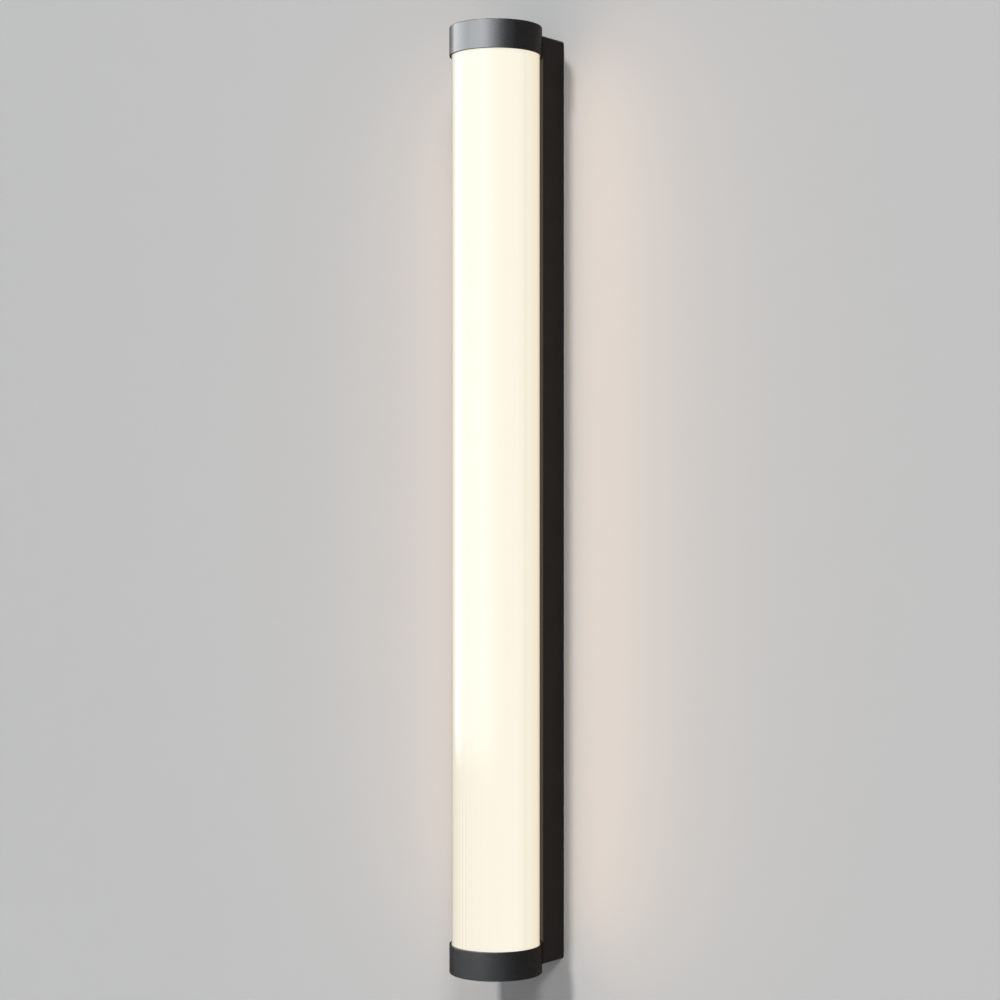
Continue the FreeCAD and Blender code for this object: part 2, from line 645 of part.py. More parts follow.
def board_connector():
    """Socket on the upper board that takes the lead from the driver."""
    low = FEED_Z + BOARD_GAP / 2
    across = (-CONNECTOR_WIDTH / 2, CONNECTOR_WIDTH / 2)
    body = box(across, (BOARD_FRONT - CONNECTOR_THICKNESS, BOARD_FRONT), (low, low + CONNECTOR_LENGTH))
    return body.cut(led_lead_pocket(connector_axis(), (low - PAST, low + CONNECTOR_LENGTH / 2)))


def board_links():
    """Bridge connectors that carry the current from board to board."""
    links = []
    for lower, upper in zip(board_middles(), board_middles()[1:]):
        middle = (lower + upper) / 2
        half_run = BOARD_GAP / 2 + LINK_OVERLAP
        links.append(
            box(
                (LINK_OFFSET - LINK_WIDTH / 2, LINK_OFFSET + LINK_WIDTH / 2),
                (BOARD_FRONT - LINK_THICKNESS, BOARD_FRONT),
                (middle - half_run, middle + half_run),
            )
        )
    return Part.Compound(links)


def driver_screw_heights():
    """Heights of the driver's two fixing screws."""
    inset = DRIVER_LUG_LENGTH / 2
    return [DRIVER_BOTTOM + inset, DRIVER_TOP - inset]


def led_driver():
    """Slim driver case with a fixing lug at each end and its lead holes."""
    half_width = DRIVER_WIDTH / 2
    low, high = DRIVER_BOTTOM + DRIVER_LUG_LENGTH, DRIVER_TOP - DRIVER_LUG_LENGTH
    case = box((-half_width, half_width), (SEAT, SEAT + DRIVER_THICKNESS), (low, high))
    case = cut_corners(case, DRIVER_EDGE, Vector(0, 0, 1))
    half_lug = DRIVER_LUG_WIDTH / 2
    lugs = box((-half_lug, half_lug), (SEAT, SEAT + DRIVER_LUG_THICKNESS), (DRIVER_BOTTOM, DRIVER_TOP))
    driver = fused([case, cut_corners(lugs, DRIVER_LUG_CORNER, Vector(0, 1, 0))])
    hole = M3_HEXAGON.thread / 2 + HOLE_FIT
    for z in driver_screw_heights():
        driver = driver.cut(rod(hole, (0, SEAT - PAST, z), (0, SEAT + DRIVER_LUG_THICKNESS + PAST, z)))
    mains = MAINS_LEAD_DIAMETER / 2 + LEAD_CLEARANCE
    for x in (POLE_OFFSETS[0], POLE_OFFSETS[-1]):
        driver = driver.cut(rod(mains, (x, MAINS_AXIS, low - PAST), (x, MAINS_AXIS, low + lead_grip())))
    return driver.cut(led_lead_pocket(OUTPUT_AXIS, (high - lead_grip(), high + PAST)))


def lead_grip():
    """How far a lead reaches into the piece that holds its end."""
    return TERMINAL_ENTRY_DEPTH - LEAD_CLEARANCE


def driver_screws():
    """The driver's two fixing screws."""
    seat = SEAT + DRIVER_LUG_THICKNESS
    return Part.Compound([hexagon_screw(M3_HEXAGON, (0, seat, z), (0, 1, 0)) for z in driver_screw_heights()])


def terminal_middle():
    """Height of the terminal block's middle."""
    return (TERMINAL_TOP + TERMINAL_BOTTOM) / 2


def terminal_block():
    """Three-pole push-in terminal block: an entry and a release slot at each end of each pole."""
    half_width = TERMINAL_POLES * TERMINAL_POLE_PITCH / 2
    back = SEAT + TERMINAL_THICKNESS
    block = box((-half_width, half_width), (SEAT, back), (TERMINAL_BOTTOM, TERMINAL_TOP))
    block = cut_corners(block, TERMINAL_EDGE, Vector(0, 1, 0))
    entry = MAINS_LEAD_DIAMETER / 2 + LEAD_CLEARANCE
    half_slot = TERMINAL_SLOT_WIDTH / 2
    for x in POLE_OFFSETS:
        for end, inward in ((TERMINAL_TOP, -1), (TERMINAL_BOTTOM, 1)):
            run = sorted((end - inward * PAST, end + inward * TERMINAL_ENTRY_DEPTH))
            block = block.cut(box((x - entry, x + entry), (MAINS_AXIS - entry, MAINS_AXIS + entry), run))
            z = end + inward * TERMINAL_SLOT_INSET
            depth = (back - TERMINAL_SLOT_DEPTH, back + PAST)
            block = block.cut(box((x - half_slot, x + half_slot), depth, (z - half_slot, z + half_slot)))
    x, front, z = TERMINAL_SCREW_X, SEAT + TERMINAL_FLOOR, terminal_middle()
    hole = rod(M3_HEXAGON.thread / 2 + HOLE_FIT, (x, SEAT - PAST, z), (x, back + PAST, z))
    well = rod(hexagon_reach(M3_HEXAGON.head) + HOLE_FIT, (x, front, z), (x, back + PAST, z))
    return block.cut(hole).cut(well)


def terminal_screw():
    """The terminal block's fixing screw, sunk in its well between two poles."""
    return hexagon_screw(M3_HEXAGON, (TERMINAL_SCREW_X, SEAT + TERMINAL_FLOOR, terminal_middle()), (0, 1, 0))


def earth_tag():
    """Ring tag under the earth screw, with a square crimped barrel for the lead."""
    back = SEAT + EARTH_TAG_THICKNESS
    ring = rod(EARTH_TAG_DIAMETER / 2, (0, SEAT, EARTH_Z), (0, back, EARTH_Z))
    half_width = MAINS_AXIS - SEAT
    neck = box((-half_width, half_width), (SEAT, back), (EARTH_BARREL_TOP, EARTH_Z))
    run = (EARTH_BARREL_TOP - EARTH_BARREL_LENGTH, EARTH_BARREL_TOP)
    barrel = box((-half_width, half_width), (SEAT, MAINS_AXIS + half_width), run)
    tag = fused([ring, neck, barrel])
    tag = tag.cut(rod(M4_EARTH.thread / 2 + HOLE_FIT, (0, SEAT - PAST, EARTH_Z), (0, back + PAST, EARTH_Z)))
    bore = MAINS_LEAD_DIAMETER / 2 + TAPPED_FIT
    depth = EARTH_BARREL_LENGTH - EARTH_TAG_THICKNESS
    return tag.cut(rod(bore, (0, MAINS_AXIS, run[0] - PAST), (0, MAINS_AXIS, run[0] + depth)))


def earth_screw():
    """Screw that clamps the earth tag on the housing."""
    return hexagon_screw(M4_EARTH, (0, SEAT + EARTH_TAG_THICKNESS, EARTH_Z), (0, 1, 0))


def mains_lead(x, high):
    """Straight lead from a terminal pole up to a height."""
    low = TERMINAL_TOP - lead_grip()
    return rod(MAINS_LEAD_DIAMETER / 2, (x, MAINS_AXIS, low), (x, MAINS_AXIS, high))


def driver_lead(x):
    """Lead from a terminal pole into the driver."""
    return mains_lead(x, DRIVER_BOTTOM + DRIVER_LUG_LENGTH + lead_grip() - LEAD_CLEARANCE)


def earth_lead():
    """Lead from the middle pole into the earth tag's barrel."""
    return mains_lead(0, EARTH_BARREL_TOP - EARTH_TAG_THICKNESS - LEAD_CLEARANCE)


def led_lead_pocket(y, run):
    """The pocket for an end of the flat lead, at a depth and over a run of Z."""
    half_width = LED_LEAD_WIDTH / 2 + LEAD_CLEARANCE
    half_deep = LED_LEAD_THICKNESS / 2 + LEAD_CLEARANCE
    return box((-half_width, half_width), (y - half_deep, y + half_deep), run)


def led_lead():
    """Flat two-core lead from the driver through bush and carrier to the board connector."""
    start = DRIVER_TOP - DRIVER_LUG_LENGTH - lead_grip() + LEAD_CLEARANCE
    end = FEED_Z + BOARD_GAP / 2 + CONNECTOR_LENGTH / 2 - LEAD_CLEARANCE
    half = LED_LEAD_THICKNESS / 2
    wall, board = OUTPUT_AXIS, connector_axis()
    outline = [
        (wall + half, start),
        (wall + half, FEED_Z + half),
        (board + half, FEED_Z + half),
        (board + half, end),
        (board - half, end),
        (board - half, FEED_Z - half),
        (wall - half, FEED_Z - half),
        (wall - half, start),
    ]
    points = [Vector(-LED_LEAD_WIDTH / 2, y, z) for y, z in outline]
    flat = Part.Face(Part.makePolygon(points + points[:1])).extrude(Vector(LED_LEAD_WIDTH, 0, 0))
    outer = [(wall + half, FEED_Z + half), (board - half, FEED_Z - half)]
    inner = [(board + half, FEED_Z + half), (wall - half, FEED_Z - half)]
    for corners, radius in ((outer, LEAD_BEND + half), (inner, LEAD_BEND - half)):
        edges = edges_along(flat, Vector(1, 0, 0), lambda middle: near_any(middle, corners))
        flat = flat.makeFillet(radius, edges)
    return flat


def near_any(middle, corners):
    """Whether a point lies at one of the corners, seen along X."""
    return any(abs(middle.y - y) < NEAR and abs(middle.z - z) < NEAR for y, z in corners)


def lead_bush():
    """Rubber bush that leads the cable through the cradle wall and the diffuser."""
    inner_end = arc_y(BORE_RADIUS, BUSH_RADIUS)
    collar = rod(BUSH_RADIUS, (0, inner_end, FEED_Z), (0, SEAT, FEED_Z))
    flange = rod(BUSH_RADIUS + BUSH_FLANGE, (0, SEAT, FEED_Z), (0, SEAT + BUSH_FLANGE_THICKNESS, FEED_Z))
    bore = rod(BUSH_BORE, (0, inner_end - PAST, FEED_Z), (0, SEAT + BUSH_FLANGE_THICKNESS + PAST, FEED_Z))
    return fused([collar, flange]).cut(bore)


def build():
    """Every named piece of the light."""
    down = Vector(0, 0, 1)
    pieces = {
        "wall_bracket": wall_bracket(),
        "cable_grommet": cable_grommet(),
        "housing": housing(),
        "housing_end_top": end_plate(),
        "housing_end_bottom": mirrored(end_plate(), down),
        "end_plate_screws": end_plate_screws(),
        "locking_screws": locking_screws(),
        "wall_gasket": wall_gasket(),
        "saddle_pads": saddle_pads(),
        "carrier_screws": carrier_screws(),
        "diffuser_tube": diffuser(),
        "top_cap": end_cap(),
        "bottom_cap": mirrored(end_cap(), down),
        "cap_seals": cap_seals(),
        "cap_screws": cap_screws(),
        "led_carrier": led_carrier(),
        "led_chips": led_chips(),
        "board_connector": board_connector(),
        "board_links": board_links(),
        "led_driver": led_driver(),
        "driver_screws": driver_screws(),
        "terminal_block": terminal_block(),
        "terminal_screw": terminal_screw(),
        "earth_tag": earth_tag(),
        "earth_screw": earth_screw(),
        "live_lead": driver_lead(POLE_OFFSETS[0]),
        "neutral_lead": driver_lead(POLE_OFFSETS[-1]),
        "earth_lead": earth_lead(),
        "led_lead": led_lead(),
        "lead_bush": lead_bush(),
    }
    for index in range(BOARDS):
        pieces[f"led_board_{index + 1}"] = led_board(index)
    return pieces


os.makedirs("parts", exist_ok=True)
for name, shape in build().items():
    solids = shape.Solids
    if not shape.isValid() or not solids:
        raise ValueError(f"{name} is not a valid solid")
    print(f"{name}: {len(solids)} solids, {sum(solid.Volume for solid in solids) / 1000:.2f} cm3")
    shape.exportStep(f"parts/{name}.step")
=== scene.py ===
import json
import math

import bmesh
import bpy
from mathutils import Matrix, Vector


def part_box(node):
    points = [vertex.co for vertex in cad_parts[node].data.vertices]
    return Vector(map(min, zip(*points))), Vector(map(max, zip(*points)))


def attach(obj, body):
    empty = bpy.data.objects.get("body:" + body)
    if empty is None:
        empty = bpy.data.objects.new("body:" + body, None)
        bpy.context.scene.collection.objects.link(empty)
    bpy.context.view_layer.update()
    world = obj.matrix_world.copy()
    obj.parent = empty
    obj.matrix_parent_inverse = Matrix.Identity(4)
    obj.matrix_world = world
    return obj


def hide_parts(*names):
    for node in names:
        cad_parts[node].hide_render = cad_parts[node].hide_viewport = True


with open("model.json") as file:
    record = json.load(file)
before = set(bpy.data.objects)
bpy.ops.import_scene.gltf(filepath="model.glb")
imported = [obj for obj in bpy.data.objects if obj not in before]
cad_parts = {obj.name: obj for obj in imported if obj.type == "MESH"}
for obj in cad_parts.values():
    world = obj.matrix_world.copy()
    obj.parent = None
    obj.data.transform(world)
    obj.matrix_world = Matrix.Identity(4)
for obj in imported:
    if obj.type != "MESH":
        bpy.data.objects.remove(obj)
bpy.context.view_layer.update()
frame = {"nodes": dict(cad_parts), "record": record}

# The looks of a tube wall light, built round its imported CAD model. The tube stands along Z, and the wall is
# the plane Y = 0. Pieces are drawn in millimetres, and a drawing is scaled to metres as it becomes a mesh.
# Angles are in degrees. An azimuth is 0 straight out from the wall, and grows to the right.

MM = 0.001
BODIES = frame["record"]["behaviour"]["bodies"]
BODY_OF = {node: body for body, nodes in BODIES.items() for node in nodes}
SLOT_OF = {part["node"]: part["material_slot"] for part in frame["record"]["subparts"]}

# Camera: its place in metres, its turn, and its lens and sensor in millimetres
CAMERA_PLACE = (0.8420, -1.1810, 0.0)
CAMERA_TURN = 36.4
CAMERA_LENS = 80.15
SENSOR_WIDTH = 36.0

# Wall and floor, in metres. Glossy skins mirror the wall darker and smoother than the camera sees it. The
# wall's grain and the floor's paint are written as in the table of finishes.
WALL_PLACE = 0.0002
WALL_HALF_WIDTH = 3.0
WALL_TOP = 2.6
WALL_COLOUR = (0.585, 0.588, 0.592)
WALL_MOTTLE = 0.992
WALL_GRAIN = (260, 1.4, 0.02)
WALL_ROUGHNESS = 0.9
MIRRORED_WALL_COLOUR = (0.085, 0.070, 0.062)
MIRRORED_WALL_ROUGHNESS = 0.3
MIRRORED_WALL_SHEEN = 0.15
OPENING_MARGIN = 0.001
FLOOR_HEIGHT = -1.3
FLOOR_HALF_WIDTH = 3.0
FLOOR_PAINT = ((0.60, 0.60, 0.60), (0.62, 0.62, 0.62), (0.70, 0.85), 200, 2.0, 0.02)

# Lamps, in metres. The key lamps, by azimuth, size and radiance
KEY_DISTANCE = 16.0
KEY_ELEVATION = 33.0
KEYS = [(0.0, 1.78, 135.0), (38.5, 3.0, 25.0)]

# Panels that only glossy skins see, by the azimuths of their sides and radiance
PANEL_DISTANCE = 1.8
PANEL_LOW = -0.36
PANEL_HIGH = 1.1
PANELS = [
    (-100, -50, 5.2),
    (-50, -28, 4.7),
    (-28, 11, 5.5),
    (11, 21, 4.8),
    (21, 31, 3.1),
    (31, 42, 1.7),
    (42, 56, 0.72),
    (56, 80, 0.27),
]

# The lamp that lights the back
REAR_PLACE = (-1.2, 2.6, 1.4)
REAR_SIZE = 2.4
REAR_RADIANCE = 2.2

# Strips that light matt skins beside the tube, by name, x, y, azimuth, width and radiance
GLOWS = [
    ("glow_far", 0.032, -0.060, 90.0, 0.030, 1.5),
    ("glow_near", 0.0267, -0.0327, 112.0, 0.015, 1.5),
]
GLOW_COLOUR = (1.0, 0.58, 0.30)

# World: its strength for matt skins, for the camera, and for glossy skins at the left, at the right and
# behind the wall, with the spans of the direction's X and Y over which one turns into the next
FILL = 0.19
BACKGROUND = 0.56
ROOM_LEFT = 0.155
ROOM_RIGHT = 0.03
ROOM_BEHIND = 0.85
LEFT_TO_RIGHT = (-0.25, 0.45)
FRONT_TO_BEHIND = (0.0, 0.3)

# Noise hardly leaves this span
NOISE_LOW = 0.3
NOISE_HIGH = 0.7
GRAIN_DETAIL = 5.0

# Finishes: darker and lighter colour, least and most roughness, size of blotches, size and depth of grain
LEAD_SKIN = ((0.35, 0.50), 6, 0.6, 0.004)
FINISH_TABLE = {
    "zinc_steel": ((0.52, 0.53, 0.54), (0.66, 0.67, 0.68), (0.30, 0.46), 5, 0.35, 0.004),
    "black_rubber": ((0.018, 0.018, 0.018), (0.028, 0.028, 0.028), (0.62, 0.80), 8, 0.25, 0.012),
    # housing_black leans warm: painted warm glow of the lit tube laid over the housing's black
    "housing_black": ((0.0172, 0.0148, 0.0140), (0.0210, 0.0184, 0.0175), (0.44, 0.58), 12, 0.32, 0.01),
    "black_screw": ((0.014, 0.014, 0.015), (0.030, 0.030, 0.032), (0.30, 0.45), 2, 0.20, 0.004),
    "black_foam": ((0.010, 0.010, 0.010), (0.022, 0.022, 0.022), (0.85, 1.00), 2, 0.45, 0.080),
    "steel_screw": ((0.55, 0.55, 0.54), (0.68, 0.68, 0.67), (0.22, 0.38), 2, 0.20, 0.003),
    "cap_anthracite": ((0.0108, 0.0113, 0.0122), (0.0128, 0.0134, 0.0144), (0.25, 0.29), 10, 0.22, 0.0025),
    "white_silicone": ((0.70, 0.70, 0.68), (0.78, 0.78, 0.76), (0.50, 0.65), 5, 0.30, 0.006),
    "raw_aluminium": ((0.66, 0.66, 0.67), (0.78, 0.78, 0.79), (0.28, 0.42), 4, 0.18, 0.004),
    "led_phosphor": ((0.86, 0.66, 0.16), (0.93, 0.76, 0.24), (0.35, 0.50), 0.8, 0.08, 0.004),
    "white_plastic": ((0.76, 0.76, 0.74), (0.82, 0.82, 0.80), (0.35, 0.48), 4, 0.30, 0.006),
    "driver_white": ((0.72, 0.72, 0.70), (0.79, 0.79, 0.77), (0.48, 0.62), 9, 0.40, 0.015),
    "terminal_grey": ((0.40, 0.41, 0.42), (0.50, 0.51, 0.52), (0.42, 0.56), 6, 0.30, 0.008),
    "tinned_brass": ((0.62, 0.60, 0.52), (0.74, 0.72, 0.64), (0.24, 0.40), 2, 0.20, 0.003),
    "board_white": ((0.76, 0.76, 0.74), (0.82, 0.82, 0.80), (0.22, 0.34), 10, 0.50, 0.004),
    "copper": ((0.70, 0.32, 0.18), (0.82, 0.42, 0.26), (0.25, 0.40), 1, 0.10, 0.003),
    "brown_pvc": ((0.085, 0.032, 0.014), (0.120, 0.048, 0.022), *LEAD_SKIN),
    "blue_pvc": ((0.012, 0.075, 0.300), (0.020, 0.100, 0.380), *LEAD_SKIN),
    "green_pvc": ((0.020, 0.160, 0.030), (0.030, 0.200, 0.040), *LEAD_SKIN),
    "white_pvc": ((0.70, 0.70, 0.68), (0.78, 0.78, 0.76), *LEAD_SKIN),
}

# Finishes: the metals, those whose grain runs one way, and foam
METALLIC = {
    "zinc_steel": 1.0,
    "steel_screw": 1.0,
    "raw_aluminium": 1.0,
    "tinned_brass": 1.0,
    "copper": 1.0,
    "black_screw": 0.6,
}
STRETCH = {"zinc_steel": (1, 1, 0.25), "raw_aluminium": (1, 1, 0.02)}
CELLULAR = {"black_foam"}

# Opal: the light that leaves it by angle from the front. The dip round 78 degrees is painted shade of the
# carrier's edge, and the rise from 98 to 140 degrees is painted light that makes up for the clear skin's
# dimming at the edges. The last stop faces the housing.
TUBE_GLOW_AND_PAINTED_LIGHT = [
    (0, (0.955, 0.895, 0.785)),
    (35, (0.970, 0.920, 0.808)),
    (66, (1.010, 0.962, 0.842)),
    (74, (0.980, 0.940, 0.815)),
    (78, (0.925, 0.888, 0.758)),
    (82, (0.985, 0.940, 0.790)),
    (98, (1.020, 0.945, 0.755)),
    (114, (1.120, 1.020, 0.810)),
    (140, (1.040, 0.925, 0.720)),
    (156, (0.700, 0.610, 0.460)),
    (180, (1.000, 1.000, 1.000)),
]

# Opal: its colours, and the clear glossy skin over it, which dims its edges
OPAL_COLOURS = ((0.158, 0.153, 0.138), (0.165, 0.160, 0.145))
OPAL_ROUGHNESS = (0.30, 0.36)
OPAL_BLOTCH = 14
OPAL_SKIN = {
    "Specular IOR Level": 0.0,
    "Coat Weight": 1.0,
    "Coat IOR": 1.34,
    "Coat Roughness": 0.11,
    "Coat Tint": (0.90, 0.885, 0.855, 1),
}

# Opal: faint streaks all along it
STREAK_SHADES = ((0.985, 0.985, 0.982), (1, 1, 1))
STREAK_STRETCH = (1, 1, 0.01)
STREAK_WIDTH = 1.2
STREAK_DETAIL = 2.0
STREAK_DEPTH = 0.002

# Opal: a painted reflection of fine upright lines low on its left, by their middle, pitch, half width and
# fade at the sides in degrees from the front, and by the heights in metres between which they fade out
LINES_MIDDLE = -14.6
LINES_PITCH = 6.0
LINES_REACH = 10.0
LINES_SIDE_FADE = 4.0
LINES_TOP_FADE = (-0.20, -0.17)
LINES_DEPTH = 0.07

# Caps: the tint and strength of their sheen, and what replaces it on faces that look up or down
CAP_TINT = (0.935, 0.968, 1.0, 1)
CAP_SHEEN = 1.0
CAP_END_SHEEN = 0.12
CAP_END_ROUGHNESS = 0.62
CAP_END_FACING = (0.6, 0.95)

# Stripe of the earth lead, which runs along the plane X = 0, in metres
STRIPE_COLOUR = (0.72, 0.55, 0.03, 1)
STRIPE_HALF_WIDTH = 0.0005

# Meshes: points round turned shapes, steps of a rounded corner, the sharpest edge that is shaded smooth, and
# how edges are broken
TUBE_SEGMENTS = 192
GROMMET_SEGMENTS = 96
COUNTERBORE_SEGMENTS = 64
SCREW_SEGMENTS = 48
JACKET_SEGMENTS = 32
CORE_SEGMENTS = 24
CORNER_STEPS = 4
SMOOTH_UP_TO = 48.0
ROUND_BEVEL = {"segments": 2, "profile": 0.5, "affect": "EDGES"}

# CAD shapes that are kept: points closer than the first become one, edges flatter than the second go, and
# edges sharper than the third are broken
SAME_POINT = 1e-3
FLAT_WITHIN = 0.4
BROKEN_FROM = 40.0

# Tube and seals: the tube's wall and rounded edges, the radius of its screw holes, the flange and clearance
# of the lead's bush in it, and the seals' thickness and rounded edges
TUBE_WALL = 2.0
TUBE_EDGE = 0.3
TUBE_SCREW_HOLE = 2.25
BUSH_FLANGE = 1.6
BUSH_FIT = 0.1
SEAL_THICKNESS = 1.5
SEAL_EDGE = 0.4

# Caps: the skirt's wall, the roundings inside and outside the rim, of the end and of the floor inside, the
# end's thickness, and the radius of the small faces that close it at its middle
SKIRT_WALL = 1.3
SKIRT_EDGE = 0.2
RIM_EDGE = 0.3
CAP_EDGE = 0.45
CAP_FLOOR_EDGE = 0.3
CAP_END = 4.0
CAP_CENTRE = 0.02

# Screw holes of the caps: radius and depth of the counterbore, radius of the hole, chamfer, and how far their
# cutter reaches out of the cap
COUNTERBORE = 3.15
COUNTERBORE_DEPTH = 1.6
SCREW_HOLE = 1.75
HOLE_CHAMFER = 0.25
CUTTER_REACH = 1.0

# Grommet in the bracket, with its roundings: of the bore at the wall and in front, of the collar's end and
# the flange's back, of the flange's front, and of the lip beside the bore
GROMMET_WALL = 2.5
GROMMET_FLANGE = 2.5
GROMMET_LIP = 0.5
GROMMET_BORE_BACK = 0.5
GROMMET_BORE_FRONT = 0.8
GROMMET_EDGE = 0.3
GROMMET_FLANGE_FRONT = 0.9
GROMMET_LIP_EDGE = 0.2
BRACKET_THICKNESS = 1.5

# Screws with a hexagonal socket
HEAD_GAP = 0.02
FLUSH_SCREW = {
    "thread": 3.0,
    "length": 10.4,
    "pitch": 0.5,
    "head": 5.8,
    "height": COUNTERBORE_DEPTH - HEAD_GAP,
    "key": 2.0,
    "crown": 0.25,
}
LOCKING_SCREW = {
    "thread": 4.0,
    "length": 7.4,
    "pitch": 0.7,
    "head": 7.2,
    "height": 2.2,
    "key": 2.5,
    "crown": 0.9,
}

# Screws with a hexagonal head, by node, name of the piece, kind and length
HEXAGON_M3 = {"thread": 3.0, "pitch": 0.5, "head": 5.5, "height": 2.0}
HEXAGON_M4 = {"thread": 4.0, "pitch": 0.7, "head": 7.0, "height": 2.8}
HEXAGON_SCREWS = [
    ("carrier_screws", "carrier_screw_pair", HEXAGON_M4, 11.6),
    ("driver_screws", "driver_screw_pair", HEXAGON_M3, 5.0),
    ("terminal_screw", "terminal_fixing_screw", HEXAGON_M3, 5.0),
    ("earth_screw", "earth_fixing_screw", HEXAGON_M4, 4.2),
]

# Threads: steps of a turn, depth, tip and start as shares of the pitch, and the plain part under the head
THREAD_STEPS = 6
THREAD_DEPTH = 0.55
THREAD_TIP = 0.6
THREAD_START = 0.7
THREAD_END = 0.3

# Sockets: depth as a share of the head, radius of the mouth as a share of the key, chamfer, height and point
# of the cone at the bottom, and the rounding under the head
SOCKET_DEPTH = 0.62
SOCKET_MOUTH = 0.72
SOCKET_CHAMFER = 0.08
SOCKET_CONE = 0.25
SOCKET_POINT = 0.05
HEAD_EDGE = 0.15

# Hexagonal heads: washer face, corners cut back in two steps, radii of the top and of the dish in it as
# shares of half the width, and the dish's depth
WASHER_HEIGHT = 0.15
WASHER_STEP = 0.2
CORNER_CUT = 0.02
CHAMFER_CUT = 0.25
CHAMFER_START = 0.35
CHAMFER_END = 0.15
HEAD_TOP = 0.96
DISH_MOUTH = 0.55
DISH_FLOOR = 0.5
DISH_DEPTH = 0.12

# Leads: length of a bared end, rounding of the jacket, radii of the core and its tip as shares of the lead's
# radius, chamfer of the tip, and how far the core starts inside the jacket
LEADS = {"live_lead": "lead_live", "neutral_lead": "lead_neutral", "earth_lead": "lead_earth"}
BARE_END = 3.0
JACKET_EDGE = 0.2
CORE = 0.55
CORE_TIP = 0.5
CORE_CHAMFER = 0.1
CORE_OVERLAP = 0.2

# LED packages, and the phosphor in each: its front and back from the package's front, its margins and edges
BOARDS = (1, 2, 3)
CHIPS_PER_BOARD = 11
CHIP_PITCH = 16.0
CHIP_LENGTH = 2.8
CHIP_EDGE = 0.12
PHOSPHOR_FRONT = (-0.02, 0.05)
PHOSPHOR_MARGIN_X = 0.5
PHOSPHOR_MARGIN_Z = 0.45
PHOSPHOR_EDGE = 0.015

# Blank field on the driver's back, on its widest face that looks back
LABELLED = "led_driver"
LOOKS_BACK = 0.99
LABEL_MARGIN = 2.5
LABEL_STEP = 0.25

# Nodes that keep the CAD's own shape, with the name of the piece and the size of its broken edges
SOFTENED = {
    "housing": ("housing_shell", 0.3),
    "housing_end_top": ("end_plate_top", 0.35),
    "housing_end_bottom": ("end_plate_bottom", 0.35),
    "wall_gasket": ("gasket_ring", 0.25),
    "wall_bracket": ("bracket_channel", 0.2),
    "saddle_pads": ("pad_pair", 0.1),
    "led_carrier": ("carrier_extrusion", 0.15),
    "led_driver": ("driver_case", 0.4),
    "terminal_block": ("terminal_body", 0.2),
    "earth_tag": ("earth_ring_tag", 0.12),
    "lead_bush": ("tube_bush", 0.2),
    "board_connector": ("connector_body", 0.25),
    "board_links": ("link_bodies", 0.25),
    "led_lead": ("lead_flat", 0.3),
    "led_board_1": ("board_1", 0.12),
    "led_board_2": ("board_2", 0.12),
    "led_board_3": ("board_3", 0.12),
}


